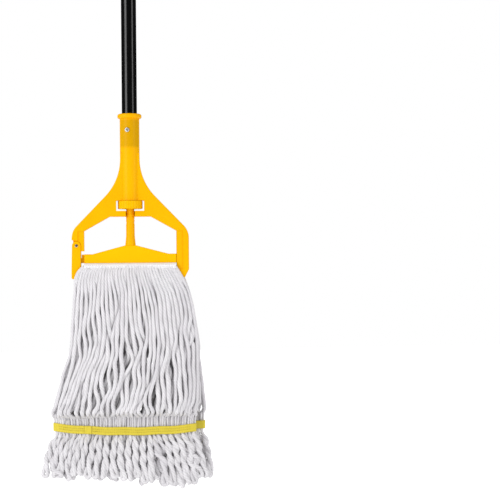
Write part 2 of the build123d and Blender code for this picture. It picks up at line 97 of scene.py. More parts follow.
class Graph:
    """A material or group tree, with short ways to add and join its nodes."""

    def __init__(self, tree: NodeTree) -> None:
        """Wrap a node tree.

        Args:
            tree: The node tree that nodes are added to.
        """
        self.tree = tree

    def add(self, kind: str, **values: object) -> Node:
        """Add one node.

        Args:
            kind: The node's Blender type name.
            values: Node properties, set by name.

        Returns:
            The new node.
        """
        node = self.tree.nodes.new(kind)
        for name, value in values.items():
            setattr(node, name, value)
        return node

    def join(self, source: Socket, target: Socket) -> None:
        """Link one output to one input."""
        self.tree.links.new(source, target)

    def maths(self, operation: str, *inputs: object) -> Socket:
        """Add a Math node.

        Args:
            operation: The Math node's operation.
            inputs: Sockets or numbers, in order.

        Returns:
            The node's output socket.
        """
        node = self.add("ShaderNodeMath", operation=operation)
        for slot, value in enumerate(inputs):
            if isinstance(value, Socket):
                self.join(value, node.inputs[slot])
            else:
                node.inputs[slot].default_value = value
        return node.outputs[0]

    def blend(self, factor: object, first: object, second: object, mode: str = "MIX") -> Socket:
        """Mix two colours.

        Args:
            factor: Socket or number, from 0 to 1.
            first: Socket or RGB triple shown at 0.
            second: Socket or RGB triple shown at 1.
            mode: The Mix node's blend type.

        Returns:
            The mixed colour's socket.
        """
        node = self.add("ShaderNodeMix", data_type="RGBA", blend_type=mode)
        for slot, value in zip(COLOUR_MIX_INPUTS, (factor, first, second)):
            if isinstance(value, Socket):
                self.join(value, node.inputs[slot])
            elif value is factor:
                node.inputs[slot].default_value = value
            else:
                node.inputs[slot].default_value = (*value, 1.0)
        return node.outputs[COLOUR_MIX_OUTPUT]

    def span(self, value: Socket, low: float, high: float, start: float, end: float) -> Socket:
        """Map a range to another with smooth ends.

        Args:
            value: The socket to map.
            low: Input value that gives start.
            high: Input value that gives end.
            start: Output at low.
            end: Output at high.

        Returns:
            The mapped socket.
        """
        node = self.add("ShaderNodeMapRange", interpolation_type="SMOOTHSTEP")
        self.join(value, node.inputs[0])
        for slot, number in enumerate((low, high, start, end), start=1):
            node.inputs[slot].default_value = number
        return node.outputs[0]

    def noise(self, vector: Socket, scale: float, detail: float = 3.0) -> Socket:
        """Noise texture value at a scale, in cycles per metre of the vector."""
        node = self.add("ShaderNodeTexNoise")
        self.join(vector, node.inputs["Vector"])
        node.inputs["Scale"].default_value = scale
        node.inputs["Detail"].default_value = detail
        return node.outputs["Fac"]


def new_group(name: str, inputs: dict[str, str], outputs: dict[str, str]) -> tuple[NodeTree, Graph]:
    """Start a shader node group with named sockets.

    Args:
        name: The group's name.
        inputs: Socket name to socket type, in order.
        outputs: Socket name to socket type, in order.

    Returns:
        The tree, and a graph helper on it.
    """
    tree = bpy.data.node_groups.new(name, "ShaderNodeTree")
    for label, kind in inputs.items():
        tree.interface.new_socket(name=label, in_out="INPUT", socket_type=kind)
    for label, kind in outputs.items():
        tree.interface.new_socket(name=label, in_out="OUTPUT", socket_type=kind)
    return tree, Graph(tree)


def fibre_group() -> NodeTree:
    """Spun-fibre effect: fine streaks along the thread, lint flecks and soft tone changes.

    Returns:
        A group with Thread and Place vectors in, and Shade and Height out.
    """
    inputs = {"Thread": "NodeSocketVector", "Place": "NodeSocketVector"}
    outputs = {"Shade": "NodeSocketFloat", "Height": "NodeSocketFloat"}
    tree, graph = new_group("Spun fibre", inputs, outputs)
    source = graph.add("NodeGroupInput")
    target = graph.add("NodeGroupOutput")
    stretch = graph.add("ShaderNodeMapping")
    stretch.inputs["Scale"].default_value = (1.0, 0.16, 1.0)
    graph.join(source.outputs["Thread"], stretch.inputs["Vector"])
    streaks = graph.noise(stretch.outputs["Vector"], 2600.0, 4.0)
    lint = graph.noise(source.outputs["Place"], 900.0, 5.0)
    tone = graph.noise(source.outputs["Place"], 55.0, 2.0)
    height = graph.maths("ADD", graph.maths("MULTIPLY", streaks, 0.7), graph.maths("MULTIPLY", lint, 0.5))
    graph.join(height, target.inputs["Height"])
    fine = graph.span(streaks, 0.3, 0.7, 0.93, 1.03)
    broad = graph.span(tone, 0.3, 0.7, 0.94, 1.03)
    graph.join(graph.maths("MULTIPLY", fine, broad), target.inputs["Shade"])
    return tree


def moulding_group() -> NodeTree:
    """Moulded-plastic effect: faint flow tone, fine skin texture and a few soft scuffs.

    Returns:
        A group with Place in, and Tone, Roughness and Height out.
    """
    inputs = {"Place": "NodeSocketVector"}
    outputs = {"Tone": "NodeSocketFloat", "Roughness": "NodeSocketFloat", "Height": "NodeSocketFloat"}
    tree, graph = new_group("Moulded skin", inputs, outputs)
    source = graph.add("NodeGroupInput")
    target = graph.add("NodeGroupOutput")
    flow = graph.noise(source.outputs["Place"], 14.0, 2.0)
    skin = graph.noise(source.outputs["Place"], 1400.0, 2.0)
    scuff = graph.noise(source.outputs["Place"], 120.0, 6.0)
    graph.join(graph.span(flow, 0.3, 0.7, 0.0, 1.0), target.inputs["Tone"])
    marks = graph.span(scuff, 0.55, 0.72, 0.0, 0.16)
    graph.join(graph.maths("ADD", graph.span(skin, 0.2, 0.8, 0.26, 0.36), marks), target.inputs["Roughness"])
    graph.join(graph.maths("ADD", skin, graph.maths("MULTIPLY", scuff, 0.4)), target.inputs["Height"])
    return tree


def weave_group() -> NodeTree:
    """Plain-weave effect for tape and canvas, from the cloth's own length and width.

    Returns:
        A group with Cloth, Ends and Picks in, and Shade and Height out.
    """
    inputs = {"Cloth": "NodeSocketVector", "Ends": "NodeSocketFloat", "Picks": "NodeSocketFloat"}
    outputs = {"Shade": "NodeSocketFloat", "Height": "NodeSocketFloat"}
    tree, graph = new_group("Plain weave", inputs, outputs)
    source = graph.add("NodeGroupInput")
    target = graph.add("NodeGroupOutput")
    split = graph.add("ShaderNodeSeparateXYZ")
    graph.join(source.outputs["Cloth"], split.inputs[0])
    warp = graph.maths("SINE", graph.maths("MULTIPLY", split.outputs["X"], source.outputs["Ends"]))
    weft = graph.maths("SINE", graph.maths("MULTIPLY", split.outputs["Y"], source.outputs["Picks"]))
    crossing = graph.maths("MULTIPLY", warp, weft)
    fuzz = graph.noise(source.outputs["Cloth"], 1500.0, 4.0)
    height = graph.maths("ADD", graph.maths("MULTIPLY", crossing, 0.5), graph.maths("MULTIPLY", fuzz, 0.6))
    graph.join(height, target.inputs["Height"])
    graph.join(graph.span(height, -0.4, 1.0, 0.86, 1.04), target.inputs["Shade"])
    return tree


class Finishes:
    """Shared node groups, made once and placed in each material that uses them."""

    def __init__(self) -> None:
        """Build the three shared groups."""
        self.fibre = fibre_group()
        self.moulding = moulding_group()
        self.weave = weave_group()


def start_material(name: str) -> tuple[Material, Graph, Node]:
    """Start a node material with one Principled shader.

    Args:
        name: The material's name.

    Returns:
        The material, a graph helper and the Principled node.
    """
    material = bpy.data.materials.new(name)
    material.use_nodes = True
    graph = Graph(material.node_tree)
    return material, graph, material.node_tree.nodes["Principled BSDF"]


def bump(graph: Graph, height: Socket, strength: float, depth: float, shader: Node) -> None:
    """Feed a height into a shader's normal.

    Args:
        graph: The material's graph.
        height: The height socket.
        strength: Bump strength from 0 to 1.
        depth: Real depth of the relief in metres.
        shader: The Principled node.
    """
    node = graph.add("ShaderNodeBump")
    node.inputs["Strength"].default_value = strength
    node.inputs["Distance"].default_value = depth
    graph.join(height, node.inputs["Height"])
    graph.join(node.outputs["Normal"], shader.inputs["Normal"])


@dataclass(frozen=True)
class PlasticFinish:
    """Moulded polypropylene, with an optional painted shade band that stands in for the black tube seen
    through the socket wall, and optional painted shade on the screw stem.
    """

    name: str
    colour: Colour
    warm: Colour
    tube_shade_zone: Span | None = None
    tube_shade_tint: Colour = (0.74, 0.79, 0.5)
    tube_shade_half: Span = (13.5 * MM, 16.2 * MM)
    tube_shade_blur: float = 4 * MM
    stem_shade_zone: Span | None = None
    stem_shade_colour: Colour = (0.90, 0.44, 0.0)
    stem_shade_half: Span = (7.6 * MM, 10.5 * MM)

    def build(self, shared: Finishes) -> Material:
        """Make the material.

        Args:
            shared: The shared node groups.

        Returns:
            The finished material.
        """
        material, graph, shader = start_material(self.name)
        place = graph.add("ShaderNodeTexCoord").outputs["Object"]
        skin = graph.add("ShaderNodeGroup", node_tree=shared.moulding)
        graph.join(place, skin.inputs["Place"])
        colour = graph.blend(skin.outputs["Tone"], self.colour, self.warm)
        split = graph.add("ShaderNodeSeparateXYZ")
        graph.join(place, split.inputs[0])
        across = graph.maths("ABSOLUTE", split.outputs["X"])
        # Painted shade: a band of the socket is multiplied darker, most at its front and back middle. It
        # stands in for the black tube seen through the wall.
        if self.tube_shade_zone:
            low, high = self.tube_shade_zone
            above = graph.span(split.outputs["Z"], low - 3 * MM, low + self.tube_shade_blur, 0.0, 1.0)
            below = graph.span(split.outputs["Z"], high - self.tube_shade_blur, high, 1.0, 0.0)
            inside = graph.span(across, *self.tube_shade_half, 1.0, 0.25)
            mask = graph.maths("MULTIPLY", graph.maths("MULTIPLY", above, below), inside)
            colour = graph.blend(mask, colour, self.tube_shade_tint, "MULTIPLY")
        # Painted shade: the screw stem, from near its foot upward, is mixed toward a darker orange. The
        # orange stands in for the shadow of the wheel and the web slot.
        if self.stem_shade_zone:
            low, high = self.stem_shade_zone
            above = graph.span(split.outputs["Z"], low, high, 0.0, 1.0)
            near = graph.span(across, *self.stem_shade_half, 1.0, 0.0)
            colour = graph.blend(graph.maths("MULTIPLY", above, near), colour, self.stem_shade_colour)
        graph.join(colour, shader.inputs["Base Color"])
        graph.join(skin.outputs["Roughness"], shader.inputs["Roughness"])
        shader.inputs["Specular IOR Level"].default_value = 0.06
        bump(graph, skin.outputs["Height"], 0.25, 0.08 * MM, shader)
        return material


@dataclass(frozen=True)
class PaintFinish:
    """Glossy enamel on steel, or a satin black cap, with faint orange peel and wiping marks."""

    name: str
    colour: Colour
    roughness: Span
    peel: float = 0.2

    def build(self) -> Material:
        """Make the material.

        Returns:
            The finished material.
        """
        material, graph, shader = start_material(self.name)
        place = graph.add("ShaderNodeTexCoord").outputs["Object"]
        lengthwise = graph.add("ShaderNodeMapping")
        lengthwise.inputs["Scale"].default_value = (1.0, 1.0, 0.06)
        graph.join(place, lengthwise.inputs["Vector"])
        wipe = graph.noise(lengthwise.outputs["Vector"], 420.0, 5.0)
        peel = graph.noise(place, 700.0, 2.0)
        graph.join(graph.span(wipe, 0.35, 0.75, *self.roughness), shader.inputs["Roughness"])
        dusty = tuple(1.8 * channel + 0.001 for channel in self.colour)
        colour = graph.blend(graph.span(wipe, 0.5, 0.8, 0.0, 1.0), self.colour, dusty)
        graph.join(colour, shader.inputs["Base Color"])
        bump(graph, peel, self.peel, 0.03 * MM, shader)
        return material


@dataclass(frozen=True)
class MetalFinish:
    """Bare metal with fine turning or drawing marks."""

    name: str
    colour: Colour
    dull: Colour
    roughness: Span

    def build(self) -> Material:
        """Make the material.

        Returns:
            The finished material.
        """
        material, graph, shader = start_material(self.name)
        place = graph.add("ShaderNodeTexCoord").outputs["Object"]
        marks = graph.noise(place, 3200.0, 5.0)
        tone = graph.noise(place, 600.0, 3.0)
        colour = graph.blend(graph.span(tone, 0.35, 0.7, 0.0, 1.0), self.colour, self.dull)
        graph.join(colour, shader.inputs["Base Color"])
        graph.join(graph.span(marks, 0.3, 0.7, *self.roughness), shader.inputs["Roughness"])
        shader.inputs["Metallic"].default_value = 1.0
        bump(graph, marks, 0.15, 0.02 * MM, shader)
        return material


@dataclass(frozen=True)
class YarnFinish:
    """Plied cotton yarn: off-white and matt. Each strand has a slightly different tone, with painted shade
    in the grooves between plies.
    """

    name: str
    colour: Colour
    deep_tone_and_groove_shade: Colour
    relief: float = 0.35

    def build(self, shared: Finishes) -> Material:
        """Make the material.

        Args:
            shared: The shared node groups.

        Returns:
            The finished material.
        """
        material, graph, shader = start_material(self.name)
        place = graph.add("ShaderNodeTexCoord").outputs["Object"]
        thread = graph.add("ShaderNodeUVMap", uv_map="Thread").outputs["UV"]
        fibre = graph.add("ShaderNodeGroup", node_tree=shared.fibre)
        graph.join(thread, fibre.inputs["Thread"])
        graph.join(place, fibre.inputs["Place"])
        tone = graph.add("ShaderNodeAttribute", attribute_name="tone").outputs["Fac"]
        groove = graph.add("ShaderNodeAttribute", attribute_name="groove").outputs["Fac"]
        colour = graph.blend(graph.maths("MULTIPLY", tone, 0.5), self.colour, self.deep_tone_and_groove_shade)
        # Painted shade: the valleys between plies are blended toward the darker colour.
        colour = graph.blend(graph.maths("MULTIPLY", groove, 0.55), colour, self.deep_tone_and_groove_shade)
        shade = graph.add("ShaderNodeCombineXYZ")
        for axis in range(3):
            graph.join(fibre.outputs["Shade"], shade.inputs[axis])
        graph.join(graph.blend(1.0, colour, shade.outputs[0], "MULTIPLY"), shader.inputs["Base Color"])
        graph.join(graph.span(fibre.outputs["Shade"], 0.9, 1.05, 0.98, 0.86), shader.inputs["Roughness"])
        shader.inputs["Specular IOR Level"].default_value = 0.15
        shader.inputs["Sheen Weight"].default_value = 0.25
        shader.inputs["Sheen Roughness"].default_value = 0.6
        bump(graph, fibre.outputs["Height"], self.relief, 0.25 * MM, shader)
        return material


@dataclass(frozen=True)
class ClothFinish:
    """Woven tape or canvas, from a cloth UV map in metres."""

    name: str
    colour: Colour
    deep: Colour
    thread: float

    def build(self, shared: Finishes) -> Material:
        """Make the material.

        Args:
            shared: The shared node groups.

        Returns:
            The finished material.
        """
        material, graph, shader = start_material(self.name)
        cloth = graph.add("ShaderNodeUVMap", uv_map="Thread").outputs["UV"]
        weave = graph.add("ShaderNodeGroup", node_tree=shared.weave)
        graph.join(cloth, weave.inputs["Cloth"])
        weave.inputs["Ends"].default_value = math.tau / (2.2 * self.thread)
        weave.inputs["Picks"].default_value = math.tau / (2.0 * self.thread)
        # Partly painted shade: the weave's low points take the deep colour. The fuzz noise in the same
        # height adds random tone.
        raised = graph.span(weave.outputs["Shade"], 0.88, 1.02, 0.0, 1.0)
        colour = graph.blend(raised, self.deep, self.colour)
        graph.join(colour, shader.inputs["Base Color"])
        graph.join(graph.span(weave.outputs["Shade"], 0.86, 1.04, 0.95, 0.78), shader.inputs["Roughness"])
        shader.inputs["Specular IOR Level"].default_value = 0.2
        shader.inputs["Sheen Weight"].default_value = 0.2
        bump(graph, weave.outputs["Height"], 0.5, 0.2 * MM, shader)
        return material


# ---- mesh helpers -----------------------------------------------------------------------------------
CURVE_STEPS = 6


def resample(path: np.ndarray, count: int) -> np.ndarray:
    """Even points along a smooth curve through a path.

    Args:
        path: Points of shape (n, 3).
        count: Number of points wanted.

    Returns:
        Points of shape (count, 3), evenly spaced by length.
    """
    ahead = np.vstack([2 * path[0] - path[1], path, 2 * path[-1] - path[-2]])
    pieces = []
    steps = np.linspace(0.0, 1.0, CURVE_STEPS, endpoint=False)[:, None]
    for a, b, c, d in zip(ahead, ahead[1:], ahead[2:], ahead[3:]):
        squared = (2 * a - 5 * b + 4 * c - d) * steps**2
        cubed = (3 * b - a - 3 * c + d) * steps**3
        pieces.append(0.5 * (2 * b + (c - a) * steps + squared + cubed))
    dense = np.vstack([*pieces, path[-1:]])
    length = np.concatenate([[0.0], np.cumsum(np.linalg.norm(np.diff(dense, axis=0), axis=1))])
    wanted = np.linspace(0.0, length[-1], count)
    return np.column_stack([np.interp(wanted, length, dense[:, axis]) for axis in range(3)])


def carried_frames(paths: np.ndarray) -> tuple[np.ndarray, np.ndarray]:
    """Two cross directions carried along each path without twisting.

    Args:
        paths: Points of shape (strands, points, 3).

    Returns:
        Two arrays of the same shape, square to each path and to each other.
    """
    along = np.gradient(paths, axis=1)
    along /= np.linalg.norm(along, axis=2, keepdims=True)
    first = np.zeros_like(paths)
    nearly_sideways = np.array([0.08, 1.0, 0.05])
    start = np.cross(along[:, 0], nearly_sideways)
    first[:, 0] = start / np.linalg.norm(start, axis=1, keepdims=True)
    for i in range(1, paths.shape[1]):
        carried = first[:, i - 1] - along[:, i] * (first[:, i - 1] * along[:, i]).sum(axis=1, keepdims=True)
        first[:, i] = carried / np.linalg.norm(carried, axis=1, keepdims=True)
    return first, np.cross(along, first)


def add_uv(mesh: Mesh, name: str, values: np.ndarray) -> None:
    """Add one UV map.

    Args:
        mesh: The mesh.
        name: The map's name.
        values: One pair for each face corner, in order.
    """
    layer = mesh.uv_layers.new(name=name)
    layer.data.foreach_set("uv", values.astype(np.float32).ravel())


def add_attribute(mesh: Mesh, name: str, values: np.ndarray) -> None:
    """Add one number to each vertex, under a name that a material reads."""
    layer = mesh.attributes.new(name=name, type="FLOAT", domain="POINT")
    layer.data.foreach_set("value", values.astype(np.float32).ravel())


def place_mesh(name: str, mesh: Mesh, material: Material) -> Piece:
    """Put a finished mesh in the scene as a smooth piece.

    Args:
        name: The piece's name.
        mesh: Its mesh.
        material: Its material.

    Returns:
        The new object.
    """
    mesh.materials.append(material)
    mesh.polygons.foreach_set("use_smooth", [True] * len(mesh.polygons))
    mesh.update()
    piece = bpy.data.objects.new(name, mesh)
    bpy.context.scene.collection.objects.link(piece)
    return piece


@dataclass(frozen=True)
class Ply:
    """How a strand is spun: its plies, their pitch, the grooves between them and how it swells.

    Each swell is its size as a share of the radius, and its length in metres for one radian.
    """

    sides: int = 12
    plies: int = 4
    pitch: float = 0.024
    groove: float = 0.19
    swells: tuple[Span, ...] = ((0.05, 0.011), (0.045, 0.0043))


@dataclass(frozen=True)
class Unwrap:
    """How strands lie in their UV maps: each has its own upright island, with an empty edge."""

    width: float = 0.94
    edge: float = 0.03
    height: float = 0.98
    foot: float = 0.01
    cap: float = 0.002
    thread_gap: float = 0.1


def spin_strands(
    name: str, paths: np.ndarray, radius: np.ndarray, ply: Ply, material: Material, seed: int
) -> Piece:
    """Turn paths into plied strands, as one piece.

    Args:
        name: The piece's name.
        paths: Points of shape (strands, points, 3).
        radius: Radius at each point, of shape (strands, points).
        ply: How the strands are spun.
        material: Their material.
        seed: Seed for each strand's tone and turn.

    Returns:
        The new object.
    """
    strands, points, _ = paths.shape
    rng = np.random.default_rng(seed)
    first, second = carried_frames(paths)
    steps = np.linalg.norm(np.diff(paths, axis=1), axis=2)
    length = np.concatenate([np.zeros((strands, 1)), np.cumsum(steps, axis=1)], axis=1)
    corner = np.arange(ply.sides)
    valley = (corner % (ply.sides // ply.plies) == 0).astype(float)
    turn = math.tau * (corner[None, None, :] / ply.sides - length[:, :, None] / ply.pitch)
    turn = turn + rng.uniform(0, math.tau, strands)[:, None, None]
    swell = np.ones_like(length)
    for size, wave in ply.swells:
        swell = swell + size * np.sin(length / wave + rng.uniform(0, math.tau, strands)[:, None])
    reach = (radius * swell)[:, :, None] * (1.0 - ply.groove * valley)[None, None, :]
    rings = (
        paths[:, :, None, :]
        + (reach * np.cos(turn))[..., None] * first[:, :, None, :]
        + (reach * np.sin(turn))[..., None] * second[:, :, None, :]
    )
    index = np.arange(strands * points * ply.sides).reshape(strands, points, ply.sides)
    beside = np.roll(index, -1, axis=2)
    quads = np.stack([index[:, :-1], beside[:, :-1], beside[:, 1:], index[:, 1:]], axis=-1)
    faces = quads.reshape(-1, 4).tolist()
    for end, order in ((0, slice(None, None, -1)), (points - 1, slice(None))):
        faces += index[:, end, order].tolist()
    mesh = bpy.data.meshes.new(name)
    mesh.from_pydata(rings.reshape(-1, 3).tolist(), [], faces)

    lay = Unwrap()
    column = np.arange(strands)[:, None, None]
    across0 = (column + lay.width * corner / ply.sides + lay.edge) / strands
    across0 = np.broadcast_to(across0, (strands, points - 1, ply.sides))
    across1 = across0 + lay.width / ply.sides / strands
    rise = np.arange(points - 1)[None, :, None] / (points - 1)
    low = np.broadcast_to(lay.foot + lay.height * rise, across0.shape)
    high = low + lay.height / (points - 1)
    atlas = np.stack([across0, low, across1, low, across1, high, across0, high], axis=-1).reshape(-1, 2)
    girth = math.tau * float(radius.mean())
    round0 = np.broadcast_to(corner / ply.sides * girth + column * lay.thread_gap, across0.shape)
    round1 = round0 + girth / ply.sides
    down0 = np.broadcast_to(length[:, :-1, None], across0.shape)
    down1 = np.broadcast_to(length[:, 1:, None], across0.shape)
    thread = np.stack([round0, down0, round1, down0, round1, down1, round0, down1], axis=-1).reshape(-1, 2)
    ends = np.zeros((2 * strands * ply.sides, 2))
    add_uv(mesh, "OFBake", np.vstack([atlas, ends + lay.cap]))
    add_uv(mesh, "Thread", np.vstack([thread, ends]))
    tone = np.repeat(rng.uniform(0.0, 1.0, strands) ** 2, points * ply.sides)
    add_attribute(mesh, "tone", tone)
    add_attribute(mesh, "groove", np.tile(valley, strands * points))
    return place_mesh(name, mesh, material)


def sweep_strip(
    name: str, profile: np.ndarray, rails: np.ndarray, material: Material, closed_rail: bool
) -> Piece:
    """Skin a grid of closed rings, as a cloth with real thickness.

    Args:
        name: The piece's name.
        profile: Distance along the cloth's width for each ring point, in metres.
        rails: Points of shape (stations, ring, 3), where each ring is closed.
        material: Its material.
        closed_rail: Whether the last station joins the first.

    Returns:
        The new object.
    """
    stations, ring, _ = rails.shape
    index = np.arange(stations * ring).reshape(stations, ring)
    ahead = np.roll(index, -1, axis=0) if closed_rail else index[1:]
    here = index if closed_rail else index[:-1]
    quads = np.stack([here, np.roll(here, -1, axis=1), np.roll(ahead, -1, axis=1), ahead], axis=-1)
    faces = quads.reshape(-1, 4).tolist()
    if not closed_rail:
        faces += [index[0, ::-1].tolist(), index[-1].tolist()]
    mesh = bpy.data.meshes.new(name)
    mesh.from_pydata(rails.reshape(-1, 3).tolist(), [], faces)
    middle = rails.mean(axis=1)
    steps = np.linalg.norm(np.diff(np.vstack([middle, middle[:1]]), axis=0), axis=1)
    length = np.concatenate([[0.0], np.cumsum(steps)])
    cells = len(here)
    along0 = np.broadcast_to(length[:cells, None], (cells, ring))
    along1 = np.broadcast_to(length[1:cells + 1, None], (cells, ring))
    width0 = np.broadcast_to(profile[None, :ring], (cells, ring))
    width1 = np.broadcast_to(profile[None, 1:], (cells, ring))
    cloth = np.stack([along0, width0, along0, width1, along1, width1, along1, width0], axis=-1)
    cloth = cloth.reshape(-1, 2)
    if not closed_rail:
        cloth = np.vstack([cloth, np.zeros((2 * ring, 2))])
    add_uv(mesh, "Thread", cloth)
    return place_mesh(name, mesh, material)


@dataclass(frozen=True)
class StitchRing:
    """One ring of a stitch: its place along it, its fatness and its lift off the cloth, as shares."""

    along: float
    fat: float
    lift: float


STITCH_RINGS = (
    StitchRing(-0.5, 0.25, -0.9),
    StitchRing(-0.42, 0.7, -0.25),
    StitchRing(-0.22, 0.95, 0.25),
    StitchRing(0.0, 1.0, 0.4),
    StitchRing(0.22, 0.95, 0.25),
    StitchRing(0.42, 0.7, -0.25),
    StitchRing(0.5, 0.25, -0.9),
)
STITCH_SIDES = 6
STITCH_GRAIN = np.array([[0.0, 0.0], [0.0005, 0.001]])


def sew_row(
    name: str, line: np.ndarray, outward: np.ndarray, pitch: float, size: Span, material: Material
) -> Piece:
    """Lay a row of raised stitches along a line.

    Args:
        name: The piece's name.
        line: Points of the seam, of shape (n, 3).
        outward: Unit direction off the cloth at each point, of shape (n, 3).
        pitch: Distance from one stitch to the next.
        size: Length of a stitch and its thickness.
        material: The thread's material.

    Returns:
        The new object.
    """
    travelled = np.concatenate([[0.0], np.cumsum(np.linalg.norm(np.diff(line, axis=0), axis=1))])
    centres = np.arange(pitch, travelled[-1] - pitch / 2, pitch)
    spots = np.column_stack([np.interp(centres, travelled, line[:, axis]) for axis in range(3)])
    ups = np.column_stack([np.interp(centres, travelled, outward[:, axis]) for axis in range(3)])
    beyond = centres + pitch / 4
    ahead = np.column_stack([np.interp(beyond, travelled, line[:, axis]) for axis in range(3)]) - spots
    ahead /= np.linalg.norm(ahead, axis=1, keepdims=True)
    across = np.cross(ups, ahead)
    length, thickness = size
    sides = STITCH_SIDES
    verts: list[list[float]] = []
    faces: list[list[int]] = []
    for spot, up, direction, sideways in zip(spots, ups, ahead, across):
        base = len(verts)
        for station in STITCH_RINGS:
            centre = spot + direction * station.along * length + up * station.lift * thickness / 2
            for side in range(sides):
                angle = math.tau * side / sides
                off = sideways * math.cos(angle) + up * math.sin(angle)
                verts.append((centre + off * station.fat * thickness / 2).tolist())
        for ring in range(len(STITCH_RINGS) - 1):
            for side in range(sides):
                a = base + ring * sides + side
                b = base + ring * sides + (side + 1) % sides
                faces.append([a, b, b + sides, a + sides])
        faces.append([base + side for side in reversed(range(sides))])
        faces.append([base + (len(STITCH_RINGS) - 1) * sides + side for side in range(sides)])
    mesh = bpy.data.meshes.new(name)
    mesh.from_pydata(verts, [], faces)
    corners = sum(len(face) for face in faces)
    add_uv(mesh, "Thread", np.tile(STITCH_GRAIN, (corners // 2, 1)))
    return place_mesh(name, mesh, material)


def fix_to_head(piece: Piece, slot: str, *nodes: str) -> None:
    """Ride a piece on the mop's main body and hide the CAD nodes that it replaces.

    Args:
        piece: The piece.
        slot: Name of a material slot for its finish; not used.
        nodes: CAD nodes that it replaces.
    """
    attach(piece, HEAD_BODY)
    if nodes:
        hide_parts(*nodes)
    LOG.info("piece %s: %d faces", piece.name, len(piece.data.polygons))


# ---- yarn -------------------------------------------------------------------------------------------
STRAND_R = 3.45 * MM


@dataclass(frozen=True)
class Station:
    """Outline of one side's yarn at a height: drop below the socket mouth, edges and depth, in mm."""

    drop: float
    left: float
    right: float
    near: float
    far: float


@dataclass(frozen=True)
class Sway:
    """A sideways wave of the strands: its length and size in mm, and its turns across a row."""

    wave: float
    size: float
    spread: float = 0.0


SHARED_SWAYS = (Sway(210.0, 3.6, 2.2), Sway(120.0, 3.4, 3.6), Sway(74.0, 2.3, 5.2), Sway(58.0, 1.4, 7.5))
OWN_SWAYS = (Sway(150.0, 2.2), Sway(70.0, 1.3), Sway(38.0, 0.6))


def ramp(
    value: np.ndarray, start: float, end: float, floor: float = 0.0, ceiling: float = 1.0
) -> np.ndarray:
    """Straight change from 0 at one value to 1 at another, held between two limits.

    Args:
        value: Where to read the ramp.
        start: Value that gives 0.
        end: Value that gives 1.
        floor: Lowest result.
        ceiling: Highest result.

    Returns:
        The ramp at each value.
    """
    return np.clip((value - start) / (end - start), floor, ceiling)


def scattered(counts: list[int] | tuple[int, ...], scatter: float, rng: np.random.Generator) -> np.ndarray:
    """Places from 0 to 1 across each row, evenly spaced but for a little scatter."""
    return np.concatenate([(np.arange(n) + 0.5 + rng.uniform(-scatter, scatter, n)) / n for n in counts])


def evened(places: np.ndarray) -> np.ndarray:
    """The same places in the same order, but evenly spaced from 0 to 1."""
    return (np.argsort(np.argsort(places)) + 0.5) / len(places)


